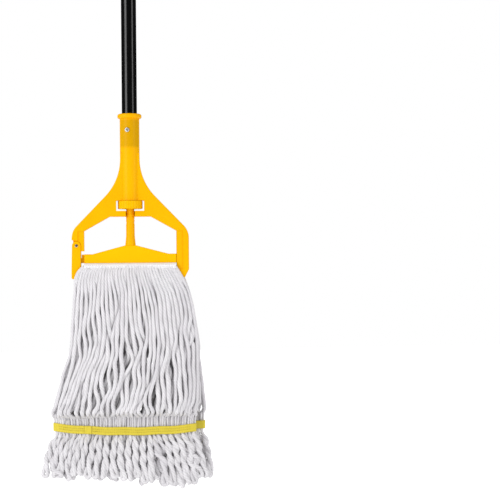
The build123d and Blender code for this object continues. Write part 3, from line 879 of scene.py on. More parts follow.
@dataclass
class Fall:
    """The strands that hang on one side of the lower bar, and the twisted loops below the tape.

    Lengths are in mm, and heights are drops below the socket mouth. A profile lists its drops and then
    its values there.
    """

    side: Side
    seed: int
    stations: tuple[Station, ...]
    rows: tuple[int, ...] = (30, 27, 18)
    row_depths: Span = (1.0, 0.12)
    top: float = 256.0
    tape_middle: float = 530.0
    level_step: float = 4.0
    ring_step: float = 2.1
    packing: float = 0.98
    push: float = 0.3
    smoothing: float = 0.2
    thinning: float = 0.62
    squareness: Profile = ((485.0, 513.0, 545.0, 575.0), (3.2, 12.0, 12.0, 3.2))
    girth: Profile = (
        (258.0, 285.0, 340.0, 498.0, 509.0),
        (2.3, 2.9, STRAND_R / MM, STRAND_R / MM, 1.9),
    )
    uneven: Span = (0.86, 1.2)
    uneven_end: Span = (508.0, 488.0)
    legs_end: float = 281.0
    leg_face: float = 11.5
    loosen: Span = (268.0, 378.0)
    tighten: Span = (515.0, 490.0)
    edge_calm: float = 0.6
    layer_turn: float = 2.3
    hook_drop: float = 498.0
    hook_height: float = 8.0
    hook_reach: float = 3.0
    tuck: Span = (501.0, 509.0)
    tuck_depth: float = 3.2
    tuck_inset: float = 2.0
    strand_passes: int = 70
    tail_shares: tuple[float, ...] = (0.48, 0.3, 0.22)
    tail_depths: tuple[float, ...] = (0.95, 0.55, 0.2)
    tail_girth: Profile = ((5.0, 34.0), (2.9, 6.2))
    tail_inset: float = 3.0
    tail_uneven: Span = (-12.0, 2.0)
    tail_pitch: float = 42.0
    tail_pairs: int = 42
    tail_plump: float = 1.1
    tail_end: float = 631.0
    tail_step: float = 5.0
    tail_lean: float = 3.6
    tail_swing: Span = (3.5, 60.0)
    tail_spread: float = 3.0
    tail_points: int = 92
    tail_passes: int = 60
    tail_ends: Profile = (
        (0.0, 0.3, 0.55, 0.75, 0.9, 1.0),
        (605.0, 612.0, 616.0, 625.0, 619.0, 611.0),
    )
    loop_opening: float = 0.72
    paths: np.ndarray = field(default_factory=lambda: np.zeros(0))
    plump: np.ndarray = field(default_factory=lambda: np.zeros(0))

    def edge(self, name: str, drop: np.ndarray) -> np.ndarray:
        """Outline value at each drop, in mm.

        Args:
            name: Station field to read.
            drop: Drops below the mouth, in mm.

        Returns:
            The interpolated values.
        """
        drops = [station.drop for station in self.stations]
        return np.interp(drop, drops, [getattr(station, name) for station in self.stations])

    def depth_at(self, x: np.ndarray, drop: np.ndarray) -> np.ndarray:
        """Outer depth of the yarn at an x, rounded in towards the edges, in mm."""
        left, right = self.edge("left", drop), self.edge("right", drop)
        near, far = self.edge("near", drop), self.edge("far", drop)
        share = np.clip(np.abs(2 * (x - left) / (right - left) - 1), 0, 1)
        power = np.interp(drop, *self.squareness)
        return near + (far - near) * (1 - self.thinning * share**power)

    def keep_inside(self, points: np.ndarray, drop: np.ndarray, radius: np.ndarray) -> np.ndarray:
        """Hold points inside the outline, and in front of the legs where those reach down.

        Args:
            points: x and depth in mm, of shape (levels, strands, 2).
            drop: Drop of each level, in mm.
            radius: Strand radii in mm, of shape (levels, strands).

        Returns:
            The points, moved inside.
        """
        d, r = drop[:, None], radius
        x = np.clip(points[..., 0], self.edge("left", d) + r, self.edge("right", d) - r)
        inner = self.edge("near", d) + r
        inner = np.where(d < self.legs_end, np.maximum(inner, self.leg_face + r), inner)
        outer = np.maximum(self.depth_at(x, d) - r, inner)
        return np.stack([x, np.clip(points[..., 1], inner, outer)], axis=-1)

    def settle(self, target: np.ndarray, drop: np.ndarray, radius: np.ndarray, passes: int) -> np.ndarray:
        """Push strands apart at every level until they lie beside each other.

        Args:
            target: Wanted x and depth in mm, of shape (levels, strands, 2).
            drop: Drop of each level, in mm.
            radius: Strand radii in mm, of shape (levels, strands).
            passes: Number of rounds.

        Returns:
            The settled points.
        """
        never_zero = 1e-6
        side, own = self.smoothing, 1 - 2 * self.smoothing
        shift = np.zeros_like(target)
        gap = self.packing * (radius[:, :, None] + radius[:, None, :])
        for _ in range(passes):
            points = self.keep_inside(target + shift, drop, radius)
            delta = points[:, :, None, :] - points[:, None, :, :]
            distance = np.sqrt((delta**2).sum(axis=-1)) + never_zero
            push = np.clip(gap - distance, 0, None)[..., None] * delta / distance[..., None]
            shift = points + self.push * push.sum(axis=2) - target
            shift[1:-1] = side * shift[:-2] + own * shift[1:-1] + side * shift[2:]
        return self.keep_inside(target + shift, drop, radius)

    def spread_out(self, u: np.ndarray, v: np.ndarray, drop: np.ndarray) -> tuple[np.ndarray, np.ndarray]:
        """Places inside the outline at every level.

        Args:
            u: Share of the width for each strand.
            v: Share of the depth for each strand.
            drop: Drop of each level, in mm.

        Returns:
            x and depth in mm, both of shape (levels, strands).
        """
        d = drop[:, None]
        left, near = self.edge("left", d), self.edge("near", d)
        x = left + (self.edge("right", d) - left) * u[None, :]
        return x, near + (self.depth_at(x, d) - near) * v[None, :]

    def sway(
        self, x: np.ndarray, depth: np.ndarray, drop: np.ndarray, u: np.ndarray, rng: np.random.Generator
    ) -> tuple[np.ndarray, np.ndarray]:
        """Bend the strands: neighbours together in long waves, and each a little on its own.

        Args:
            x: Places across in mm, of shape (levels, strands).
            depth: Depths in mm, of the same shape.
            drop: Drop of each level, in mm.
            u: Share of the width for each strand.
            rng: Source of the scatter.

        Returns:
            The bent x and depth.
        """
        d, count = drop[:, None], len(u)
        loose = ramp(d, *self.loosen, floor=0.05) * ramp(d, *self.tighten, floor=0.12)
        loose = loose * (1.0 - self.edge_calm * np.abs(2.0 * u - 1.0) ** 3)[None, :]
        layer = np.repeat(np.arange(len(self.rows)), self.rows)
        for sway in SHARED_SWAYS:
            phase = math.tau * (sway.spread * u + rng.uniform(0, 0.11, count)) + self.layer_turn * layer
            phase = (phase + rng.uniform(0, math.tau))[None, :]
            x = x + loose * sway.size * np.sin(math.tau * d / sway.wave + phase)
            inward = np.sin(math.tau * d / (0.83 * sway.wave) + 2.1 * phase)
            depth = depth + loose * 0.8 * sway.size * inward
        for sway in OWN_SWAYS:
            bends = []
            for share in (1.0, 0.8):
                phase = rng.uniform(0, math.tau, count)[None, :]
                length = sway.wave * rng.uniform(0.75, 1.3, count)[None, :]
                size = sway.size * share * rng.uniform(0.3, 1.3, count)[None, :]
                bends.append(loose * (size * np.sin(math.tau * d / length + phase)))
            x, depth = x + bends[0], depth + bends[1]
        hook = np.exp(-(((d - self.hook_drop) / self.hook_height) ** 2))
        return x + hook * rng.normal(0.0, self.hook_reach, count)[None, :], depth

    def lay_strands(self) -> None:
        """Work out the strands' paths, from under the headband to inside the tail tape."""
        rng = np.random.default_rng(self.seed)
        drop = np.arange(self.top, self.tape_middle + 0.1, self.level_step)
        count = sum(self.rows)
        u = scattered(self.rows, 0.18, rng)
        v = np.repeat(np.linspace(*self.row_depths, len(self.rows)), self.rows)
        v = np.clip(v + rng.uniform(-0.1, 0.1, count), 0, 1)
        x, depth = self.sway(*self.spread_out(u, v, drop), drop, u, rng)
        self.plump = rng.uniform(*self.uneven, count)
        d = drop[:, None]
        radius = self.strand_radius(d, self.plump[None, :])
        tuck = ramp(d, *self.tuck)
        flat = self.edge("far", d) - radius - rng.uniform(0.0, self.tuck_depth, count)[None, :]
        depth = depth * (1.0 - tuck) + tuck * flat
        left, right = self.edge("left", d), self.edge("right", d)
        even = left + self.tuck_inset + (right - left - 2 * self.tuck_inset) * evened(u)[None, :]
        x = x * (1.0 - tuck) + tuck * even
        points = self.settle(np.stack([x, depth], axis=-1), drop, radius, self.strand_passes)
        y = self.side.value * points[..., 1]
        z = np.broadcast_to(-d, y.shape)
        paths = np.stack([points[..., 0], y, z], axis=-1).transpose(1, 0, 2) * MM
        paths[..., 2] += MOUTH
        rings = int((self.tape_middle - self.top) / self.ring_step)
        self.paths = np.stack([resample(path, rings) for path in paths])

    def strand_radius(self, drop: np.ndarray, plump: np.ndarray) -> np.ndarray:
        """Strand radius in mm: squeezed under the headband and in the tape, full between them.

        Args:
            drop: Drops below the mouth, in mm.
            plump: How full each strand is, which evens out above the tape.

        Returns:
            The radii.
        """
        return np.interp(drop, *self.girth) * (1.0 + (plump - 1.0) * ramp(drop, *self.uneven_end))

    def build_strands(self, material: Material) -> list[Piece]:
        """Make the hanging strands, one piece for each row.

        Args:
            material: The yarn's material.

        Returns:
            The pieces, outermost row first.
        """
        drop = (MOUTH - self.paths[..., 2]) / MM
        radius = self.strand_radius(drop, self.plump[:, None]) * MM
        pieces, start = [], 0
        for row, count in enumerate(self.rows):
            name = f"yarn_{self.side.name.lower()}_row_{row + 1}"
            chosen = slice(start, start + count)
            row_seed = self.seed + row
            pieces.append(spin_strands(name, self.paths[chosen], radius[chosen], Ply(), material, row_seed))
            start += count
        return pieces

    def tail_path(self, centre: np.ndarray, phase: float, count: int) -> np.ndarray:
        """Path of one looped tail: down one twisted strand, round the loop and up the other.

        Args:
            centre: Centre line of the twisted pair, in metres.
            phase: Where the twist starts, in radians.
            count: Number of points wanted.

        Returns:
            The path of the single strand that makes the pair.
        """
        points = resample(centre, 48)
        first, second = carried_frames(points[None])
        length = np.linalg.norm(points[1] - points[0]) * np.arange(len(points))
        open_up = ramp(np.arange(len(points)) / len(points), self.loop_opening, 1.0)
        reach = STRAND_R * (0.78 + 0.5 * open_up**1.5) * ramp(length, 0.0, 26 * MM, floor=0.36)
        turn = phase - math.tau * length / (self.tail_pitch * MM) * (1 - 0.12 * open_up)
        arm = first[0] * np.cos(turn)[:, None] + second[0] * np.sin(turn)[:, None]
        down = points + arm * reach[:, None]
        up = points - arm * reach[:, None]
        along = points[-1] - points[-2]
        along /= np.linalg.norm(along)
        bend = np.linspace(0, math.pi, 9)[1:-1, None]
        loop = points[-1] + reach[-1] * (np.cos(bend) * arm[-1] + 1.25 * np.sin(bend) * along)
        return resample(np.vstack([down, loop, up[::-1]]), count)

    def lay_tails(self, rng: np.random.Generator) -> np.ndarray:
        """Work out the looped tails' paths, gathered in the tape and free below it.

        Args:
            rng: Source of the scatter.

        Returns:
            Points of shape (tails, points, 3), in metres.
        """
        counts = [int(round(self.tail_pairs * share)) for share in self.tail_shares]
        u = scattered(counts, 0.2, rng)
        v = np.repeat(self.tail_depths, counts)
        drop = np.arange(self.tape_middle, self.tail_end, self.tail_step)
        d = drop[:, None]
        x, depth = self.spread_out(u, v, drop)
        free = ramp(d, self.tape_middle + 8.0, self.tape_middle + 68.0, ceiling=1.3)
        lean = rng.normal(0, self.tail_lean, len(u))[None, :]
        swing, wave = self.tail_swing
        phase = rng.uniform(0, math.tau, len(u))[None, :]
        x = x + free * lean + free * swing * np.sin(math.tau * d / wave + phase)
        depth = depth + free * rng.normal(0, self.tail_spread, len(u))[None, :]
        gathered = ramp(d, self.tape_middle + 30.0, self.tape_middle + 5.0)
        left, right = self.edge("left", d), self.edge("right", d)
        even = left + self.tail_inset + (right - left - 2 * self.tail_inset) * evened(u)[None, :]
        x = x * (1.0 - gathered) + gathered * even
        radius = np.interp(drop - self.tape_middle, *self.tail_girth)[:, None]
        radius = np.broadcast_to(radius, x.shape)
        points = self.settle(np.stack([x, depth], axis=-1), drop, radius, self.tail_passes)
        ends = np.interp(u, *self.tail_ends) + rng.uniform(*self.tail_uneven, len(u))
        paths = []
        for tail, end in enumerate(ends):
            kept = drop <= end
            y = self.side.value * points[kept, tail, 1]
            centre = np.column_stack([points[kept, tail, 0], y, -drop[kept]]) * MM
            centre[:, 2] += MOUTH
            paths.append(self.tail_path(centre, rng.uniform(0, math.tau), self.tail_points))
        return np.stack(paths)

    def build_fringe(self, material: Material) -> Piece:
        """Make the twisted loops below the tail tape.

        Args:
            material: The yarn's material.

        Returns:
            The piece.
        """
        lines = self.lay_tails(np.random.default_rng(self.seed + 50))
        below = (MOUTH - lines[..., 2]) / MM - self.tape_middle
        width = np.interp(below, [4.0, 30.0], [2.1 * MM, STRAND_R * self.tail_plump])
        name = f"fringe_{self.side.name.lower()}_loops"
        return spin_strands(name, lines, width, Ply(), material, self.seed + 60)


FRONT_OUTLINE = (
    Station(256.0, -80.0, 77.0, 11.4, 17.4),
    Station(259.0, -84.5, 78.5, 11.4, 18.5),
    Station(266.0, -91.0, 83.0, 11.4, 21.0),
    Station(278.0, -95.0, 90.0, 11.0, 24.5),
    Station(300.0, -96.0, 99.5, 4.0, 28.5),
    Station(326.0, -98.0, 106.0, 3.0, 31.5),
    Station(346.0, -100.0, 109.0, 3.0, 33.0),
    Station(386.0, -102.0, 113.5, 3.0, 36.5),
    Station(406.0, -105.5, 113.5, 3.0, 38.0),
    Station(432.0, -115.5, 113.0, 3.0, 40.0),
    Station(459.0, -122.5, 113.0, 3.0, 41.0),
    Station(487.0, -130.5, 112.0, 3.0, 42.0),
    Station(497.0, -134.5, 111.0, 3.0, 41.0),
    Station(503.0, -134.5, 110.5, 3.0, 32.0),
    Station(508.0, -132.5, 109.0, 6.0, 18.5),
    Station(513.0, -131.0, 108.0, 6.0, 16.5),
    Station(540.0, -130.5, 107.5, 6.0, 16.5),
    Station(552.0, -139.0, 114.0, 3.0, 25.0),
    Station(578.0, -148.0, 122.0, 3.0, 36.0),
    Station(604.0, -151.0, 128.0, 3.0, 39.0),
    Station(630.0, -149.0, 131.0, 3.0, 40.0),
)
BACK_OUTLINE = (
    Station(256.0, -80.0, 78.0, 11.4, 17.4),
    Station(259.0, -84.0, 80.0, 11.4, 18.5),
    Station(266.0, -90.0, 85.0, 11.4, 21.0),
    Station(278.0, -94.0, 93.0, 11.0, 24.5),
    Station(300.0, -95.0, 100.0, 4.0, 28.5),
    Station(330.0, -97.0, 107.0, 3.0, 31.5),
    Station(350.0, -98.0, 110.5, 3.0, 33.0),
    Station(390.0, -101.0, 116.5, 3.0, 36.5),
    Station(411.0, -103.0, 117.0, 3.0, 38.0),
    Station(438.0, -107.0, 120.0, 3.0, 40.0),
    Station(466.0, -112.0, 123.5, 3.0, 41.0),
    Station(487.0, -116.0, 126.0, 3.0, 42.0),
    Station(497.0, -119.0, 126.5, 3.0, 41.0),
    Station(503.0, -119.0, 126.0, 3.0, 32.0),
    Station(508.0, -118.0, 124.5, 6.0, 18.5),
    Station(513.0, -117.5, 124.0, 6.0, 16.5),
    Station(540.0, -117.0, 123.5, 6.0, 16.5),
    Station(552.0, -123.0, 129.0, 3.0, 25.0),
    Station(578.0, -131.0, 135.5, 3.0, 36.0),
    Station(604.0, -135.0, 138.5, 3.0, 39.0),
    Station(630.0, -136.0, 138.5, 3.0, 40.0),
)


@dataclass
class Saddle:
    """Yarn where it lies over the lower bar, with the canvas headband sewn round it, in mm."""

    count: int = 31
    left: float = -76.5
    right: float = 75.0
    crown: float = 255.4
    strand: float = 2.3
    foot_depth: float = 14.2
    foot: float = 258.4
    strand_rings: int = 26
    canvas_top: float = 251.6
    canvas_foot: float = 258.9
    canvas_half: float = 17.2
    canvas_thick: float = 1.1
    canvas_ends: Span = (0.6, 0.8)
    canvas_stations: int = 250
    canvas_ring: int = 46
    ridge: float = 0.55
    hem: float = 0.7
    hem_waves: int = 19
    stitch_pitch: float = 3.4
    stitch: Span = (2.7, 0.75)
    stitch_lift: float = 0.15

    def build_yarn(self, material: Material) -> Piece:
        """Make the strands over the bar.

        Args:
            material: The yarn's material.

        Returns:
            The piece.
        """
        shoulder = [(-1.0, self.foot), (-0.97, self.crown + 1.6), (-0.8, self.crown + 0.3)]
        outline = np.array([*shoulder, (-0.45, self.crown), (0.0, self.crown)])
        outline = np.vstack([outline, outline[-2::-1] * [-1, 1]])
        paths = []
        for x in np.linspace(self.left + self.strand, self.right - self.strand, self.count):
            across = np.full(len(outline), x)
            line = np.column_stack([across, outline[:, 0] * self.foot_depth, -outline[:, 1]]) * MM
            line[:, 2] += MOUTH
            paths.append(resample(line, self.strand_rings))
        lines = np.stack(paths)
        width = np.full(lines.shape[:2], self.strand * MM)
        return spin_strands("yarn_over_bar", lines, width, Ply(), material, 5)

    def canvas_section(self) -> np.ndarray:
        """Closed section of the folded canvas, as depth and drop of shape (ring, 2)."""
        half, top, foot = self.canvas_half, self.canvas_top, self.canvas_foot
        path = [(-half - 0.5, foot), (-half, foot - 2.6), (-half + 0.7, foot - 4.8)]
        path += [(-half + 2.9, top + 0.7), (-half + 6.5, top), (0.0, top)]
        outer = np.array(path + [(-y, z) for y, z in path[-2::-1]])
        middle = np.column_stack([outer, np.zeros(len(outer))])
        outer = resample(middle, self.canvas_ring)[:, :2]
        step = np.gradient(outer, axis=0)
        normal = np.column_stack([step[:, 1], -step[:, 0]])
        normal /= np.linalg.norm(normal, axis=1, keepdims=True)
        inward = -normal if normal[0, 0] < 0 else normal
        return np.vstack([outer, (outer + inward * self.canvas_thick)[::-1]])

    def canvas_rails(self) -> tuple[np.ndarray, np.ndarray]:
        """Rings of the canvas from end to end, with the yarn showing through as ridges.

        Returns:
            Distance along each ring, and the rings of shape (stations, ring, 3).
        """
        ring = self.canvas_section()
        left_lap, right_lap = self.canvas_ends
        stations = np.linspace(self.left - left_lap, self.right + right_lap, self.canvas_stations)
        spacing = (self.right - self.left - 2 * self.strand) / (self.count - 1)
        ridge = self.ridge * np.cos(math.tau * (stations - self.left - self.strand) / spacing)
        upright = ramp(ring[:, 1], self.canvas_top + 1.5, self.canvas_top + 5.5)
        rng = np.random.default_rng(11)
        knots = np.linspace(stations[0], stations[-1], self.hem_waves)
        hem = self.hem * np.interp(stations, knots, rng.uniform(-1, 1, self.hem_waves))
        low = ramp(ring[:, 1], self.canvas_foot - 4.0, self.canvas_foot)
        rails = np.zeros((len(stations), len(ring), 3))
        rails[..., 0] = stations[:, None]
        rails[..., 1] = ring[None, :, 0] + np.sign(ring[None, :, 0]) * ridge[:, None] * upright[None, :]
        rails[..., 2] = -(ring[None, :, 1] + hem[:, None] * low[None, :])
        rails *= MM
        rails[..., 2] += MOUTH
        closed = np.vstack([ring, ring[:1]])
        width = np.concatenate([[0.0], np.cumsum(np.linalg.norm(np.diff(closed, axis=0), axis=1))]) * MM
        return width, rails

    def build_canvas(self, material: Material) -> Piece:
        """Make the headband."""
        width, rails = self.canvas_rails()
        return sweep_strip("headband_canvas", width, rails, material, False)

    def build_seams(self, material: Material) -> list[Piece]:
        """Sew two rows down each face of the headband.

        Args:
            material: The thread's material.

        Returns:
            The four rows.
        """
        _, rails = self.canvas_rails()
        length, thickness = self.stitch
        seams = []
        for side in Side:
            for number, place in enumerate((2, 5)):
                ring = place if side is Side.FRONT else self.canvas_ring - 1 - place
                line = rails[:, ring, :].copy()
                outward = np.tile([0.0, float(side.value), 0.0], (len(line), 1))
                line += outward * self.stitch_lift * MM
                name = f"headband_seam_{side.name.lower()}_{number + 1}"
                size = (length * MM, thickness * MM)
                seams.append(sew_row(name, line, outward, self.stitch_pitch * MM, size, material))
        return seams


@dataclass
class TailTape:
    """Yellow tape sewn round one side's strands near their ends, with its own stitching, in mm."""

    fall: Fall
    height: float = 13.6
    thick: float = 1.1
    middle_top: float = 525.0
    tilt: float = 2.75
    sag: float = 6.0
    end_inset: float = 3.0
    end_bulge: float = 3.2
    face_points: int = 120
    lap_points: int = 7
    lap_lift: Span = (0.2, 1.5)
    stitch_pitch: float = 3.6
    stitch: Span = (3.0, 0.8)
    stitch_lift: float = 0.3

    def outline(self) -> tuple[np.ndarray, np.ndarray]:
        """Closed loop of the tape seen from above, and the direction out of it.

        Returns:
            Points of shape (n, 2) as x and depth in mm, and unit normals of the same shape.
        """
        drop = np.array([self.middle_top + self.height / 2])
        left, right = float(self.fall.edge("left", drop)[0]), float(self.fall.edge("right", drop)[0])
        x = np.linspace(left + self.end_inset, right - self.end_inset, self.face_points)
        face = self.fall.depth_at(x, np.full_like(x, drop[0])) + self.thick
        rib = 0.3 * np.cos(math.tau * x / 4.1) + 0.3 * np.sin(math.tau * x / 17.0)
        rear = np.full_like(x, float(self.fall.edge("near", drop)[0]) - 0.5)
        middle = (face[0] + rear[0]) / 2
        end = (face[0] - rear[0]) / 2
        bend = np.linspace(math.pi / 2, -math.pi / 2, 11)[1:-1]
        near_end = np.column_stack([x[-1] + self.end_bulge * np.cos(bend), middle + end * np.sin(bend)])
        far_end = np.column_stack([x[0] - self.end_bulge * np.cos(bend), middle - end * np.sin(bend)])
        loop = [np.column_stack([x, face + rib]), near_end, np.column_stack([x, rear])[::-1], far_end]
        loop = np.vstack(loop)
        ahead = np.roll(loop, -1, axis=0) - np.roll(loop, 1, axis=0)
        normal = np.column_stack([-ahead[:, 1], ahead[:, 0]])
        normal /= np.linalg.norm(normal, axis=1, keepdims=True)
        return loop, normal

    def to_space(self, flat: np.ndarray, drop: np.ndarray) -> np.ndarray:
        """Points in space from x and depth in mm and a drop in mm."""
        points = np.stack([flat[..., 0], self.fall.side.value * flat[..., 1], -drop], axis=-1) * MM
        points[..., 2] += MOUTH
        return points

    def edge_drop(self, loop: np.ndarray) -> np.ndarray:
        """Drop of the tape's upper edge round the loop: it hangs lowest in the middle of the face."""
        centre = (loop[:, 0].max() + loop[:, 0].min()) / 2
        half = (loop[:, 0].max() - loop[:, 0].min()) / 2
        share = (loop[:, 0] - centre) / half
        return self.middle_top + self.tilt * share - self.sag * share**2 + 0.4 * np.sin(loop[:, 0] / 9.0)

    def skin(
        self, name: str, faces: tuple[list[np.ndarray], list[np.ndarray]], levels: np.ndarray,
        material: Material, closed: bool
    ) -> Piece:
        """Skin the tape between its outer and inner face.

        Args:
            name: The piece's name.
            faces: The outer and the inner face, each as one line of points for each level.
            levels: Distance of each level below the upper edge, in mm.
            material: The tape's material.
            closed: Whether the tape closes on itself.

        Returns:
            The piece.
        """
        outer, inner = faces
        rails = np.stack(outer + inner[::-1], axis=1)
        if self.fall.side is Side.BACK:
            rails = rails[::-1]
        turn = self.height + self.thick
        width = np.concatenate([levels, turn + levels, [2 * turn]]) * MM
        return sweep_strip(name, width, rails, material, closed)

    def build_tape(self, material: Material) -> Piece:
        """Make the tape.

        Args:
            material: The tape's material.

        Returns:
            The piece.
        """
        loop, normal = self.outline()
        top = self.edge_drop(loop)
        levels = np.linspace(0.0, self.height, 9)
        crease = 0.25 * np.exp(-((levels - self.height / 2) / 1.2) ** 2)
        bulge = 0.35 * np.sin(math.pi * levels / self.height) - crease
        outer, inner = [], []
        for level, out in zip(levels, bulge):
            outer.append(self.to_space(loop + normal * out, top + level))
            inner.append(self.to_space(loop + normal * (out - self.thick), top + level))
        name = f"tail_tape_{self.fall.side.name.lower()}"
        return self.skin(name, (outer, inner), levels, material, True)

    def build_lap(self, material: Material) -> Piece:
        """Make the tape's folded-over end, lying on the face where the loop closes.

        Args:
            material: The tape's material.

        Returns:
            The piece.
        """
        loop, normal = self.outline()
        start = 25 if self.fall.side is Side.FRONT else 96
        chosen = slice(start, start + self.lap_points)
        top = self.edge_drop(loop)[chosen] + 0.1
        loop, normal = loop[chosen], normal[chosen]
        levels = np.linspace(0.0, self.height - 0.2, 9)
        under, over = self.lap_lift
        outer = [self.to_space(loop + normal * over, top + level) for level in levels]
        inner = [self.to_space(loop + normal * under, top + level) for level in levels]
        name = f"tail_tape_{self.fall.side.name.lower()}_lap"
        return self.skin(name, (outer, inner), levels, material, False)

    def build_seams(self, material: Material) -> list[Piece]:
        """Sew two rows along the tape's outer face.

        Args:
            material: The thread's material.

        Returns:
            The rows.
        """
        loop, normal = self.outline()
        face = slice(2, self.face_points - 2)
        top = self.edge_drop(loop)
        flat = normal[face]
        outward = np.column_stack([flat[:, 0], self.fall.side.value * flat[:, 1], np.zeros(len(flat))])
        length, thickness = self.stitch
        seams = []
        for number, share in enumerate((0.34, 0.62)):
            line = self.to_space(loop[face] + flat * self.stitch_lift, top[face] + share * self.height)
            name = f"tail_seam_{self.fall.side.name.lower()}_{number + 1}"
            size = (length * MM, thickness * MM)
            seams.append(sew_row(name, line, outward, self.stitch_pitch * MM, size, material))
        return seams


@dataclass
class YarnHead:
    """The whole replaceable yarn head."""

    falls: list[Fall] = field(
        default_factory=lambda: [Fall(Side.FRONT, 3, FRONT_OUTLINE), Fall(Side.BACK, 29, BACK_OUTLINE)]
    )
    saddle: Saddle = field(default_factory=Saddle)

    def build(self, shared: Finishes) -> None:
        """Make and dress every soft piece.

        Args:
            shared: The shared node groups.
        """
        yarn = YarnFinish("Cotton yarn", (0.80, 0.785, 0.80), (0.63, 0.61, 0.64)).build(shared)
        bleached, yellow = (0.95, 0.94, 0.95), (0.82, 0.68, 0.075)
        canvas = ClothFinish("Headband canvas", bleached, (0.84, 0.83, 0.85), 0.55 * MM).build(shared)
        tape = ClothFinish("Yellow tape", yellow, (0.62, 0.49, 0.04), 0.5 * MM).build(shared)
        white = YarnThread("White thread", (0.8, 0.79, 0.81)).build()
        gold = YarnThread("Yellow thread", (0.55, 0.43, 0.03)).build()
        fix_to_head(self.saddle.build_yarn(yarn), "cotton_yarn", "yarn_saddle")
        headband = self.saddle.build_canvas(canvas)
        fix_to_head(headband, "headband_canvas", "headband")
        for seam in self.saddle.build_seams(white):
            fix_to_head(seam, "stitching_white", "headband_stitching")
        for fall in self.falls:
            word = fall.side.name.lower()
            fall.lay_strands()
            for piece in fall.build_strands(yarn):
                fix_to_head(piece, "cotton_yarn", f"yarn_{word}")
            fix_to_head(fall.build_fringe(yarn), "cotton_yarn", f"fringe_{word}")
            band = TailTape(fall, middle_top=525.0 if fall.side is Side.FRONT else 522.0)
            strip = band.build_tape(tape)
            fix_to_head(strip, "yellow_tape", f"tail_band_{word}")
            fix_to_head(band.build_lap(tape), "yellow_tape", f"tail_band_{word}")
            for seam in band.build_seams(gold):
                fix_to_head(seam, "stitching_yellow", "tail_band_stitching")


@dataclass(frozen=True)
class YarnThread:
    """Sewing thread, with a faint sheen and uneven tone."""

    name: str
    colour: Colour

    def build(self) -> Material:
        """Make the material.

        Returns:
            The finished material.
        """
        material, graph, shader = start_material(self.name)
        place = graph.add("ShaderNodeTexCoord").outputs["Object"]
        grain = graph.noise(place, 1800.0, 3.0)
        dark = tuple(0.75 * channel for channel in self.colour)
        colour = graph.blend(graph.span(grain, 0.3, 0.7, 0.0, 1.0), dark, self.colour)
        graph.join(colour, shader.inputs["Base Color"])
        graph.join(graph.span(grain, 0.3, 0.7, 0.8, 0.6), shader.inputs["Roughness"])
        bump(graph, grain, 0.4, 0.1 * MM, shader)
        return material


@dataclass
class ClampHead:
    """The moulded head, its gate, wheel and press bar, and the riveted handle."""

    yellow: Colour = (0.94, 0.475, 0.0)
    warm_yellow: Colour = (0.93, 0.445, 0.0)
    bar_yellow: Colour = (0.94, 0.53, 0.0)
    warm_bar: Colour = (0.93, 0.50, 0.0)
    flange_height: float = 8.2 * MM
    bar_share: float = 0.24
    stem_shade_fade: Span = (-4 * MM, 14 * MM)

    def dress(self, shared: Finishes) -> None:
        """Give every hard node its material.

        Args:
            shared: The shared node groups.
        """
        tube_end = node_box("handle_tube")[0].z
        # Painted shade band on the socket, from the tube's lower end up to below the flange.
        tube_shade_zone = (tube_end, MOUTH - self.flange_height)
        # The painted shade on the screw stem starts a share of the press bar's height above its lowest
        # point.
        bar_low, bar_high = node_box("press_bar")
        foot = bar_low.z + self.bar_share * (bar_high.z - bar_low.z)
        stem_shade_zone = (foot + self.stem_shade_fade[0], foot + self.stem_shade_fade[1])
        frame_plastic = PlasticFinish("Yellow moulding", self.yellow, self.warm_yellow, tube_shade_zone)
        bar_plastic = PlasticFinish(
            "Press bar moulding", self.bar_yellow, self.warm_bar, stem_shade_zone=stem_shade_zone
        )
        gate_plastic = PlasticFinish("Gate moulding", self.yellow, self.warm_yellow)
        wheel_plastic = PlasticFinish("Wheel moulding", self.bar_yellow, self.warm_bar)
        enamel = PaintFinish("Black enamel", (0.002, 0.002, 0.002), (0.16, 0.22), 0.08)
        cap_plastic = PaintFinish("Black cap plastic", (0.012, 0.012, 0.012), (0.38, 0.5), 0.4)
        aluminium = MetalFinish("Rivet aluminium", (0.82, 0.82, 0.83), (0.66, 0.66, 0.67), (0.2, 0.34))
        # Partly painted shade: the mandrel end is real, but its near-black colour stands in for the shade
        # down the rivet's hole.
        steel = MetalFinish("Mandrel steel", (0.10, 0.08, 0.09), (0.05, 0.04, 0.05), (0.45, 0.6))
        plated = MetalFinish("Plated pin", (0.86, 0.85, 0.83), (0.72, 0.71, 0.69), (0.16, 0.3))
        finishes = {
            "head_frame": frame_plastic.build(shared),
            "press_bar": bar_plastic.build(shared),
            "gate": gate_plastic.build(shared),
            "thumb_wheel": wheel_plastic.build(shared),
            "handle_tube": enamel.build(),
            "hang_cap": cap_plastic.build(),
            "tube_rivet": aluminium.build(),
            "rivet_mandrel": steel.build(),
            "gate_pin": plated.build(),
        }
        for name, material in finishes.items():
            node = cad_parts[name]
            node.data.materials.clear()
            node.data.materials.append(material)
            LOG.info("dressed %s", name)


@dataclass(frozen=True)
class SoftBox:
    """One area light: degrees round to the right and up, width and height, watts and distance."""

    name: str
    bearing: float
    lift: float
    size: Span
    power: float
    reach: float


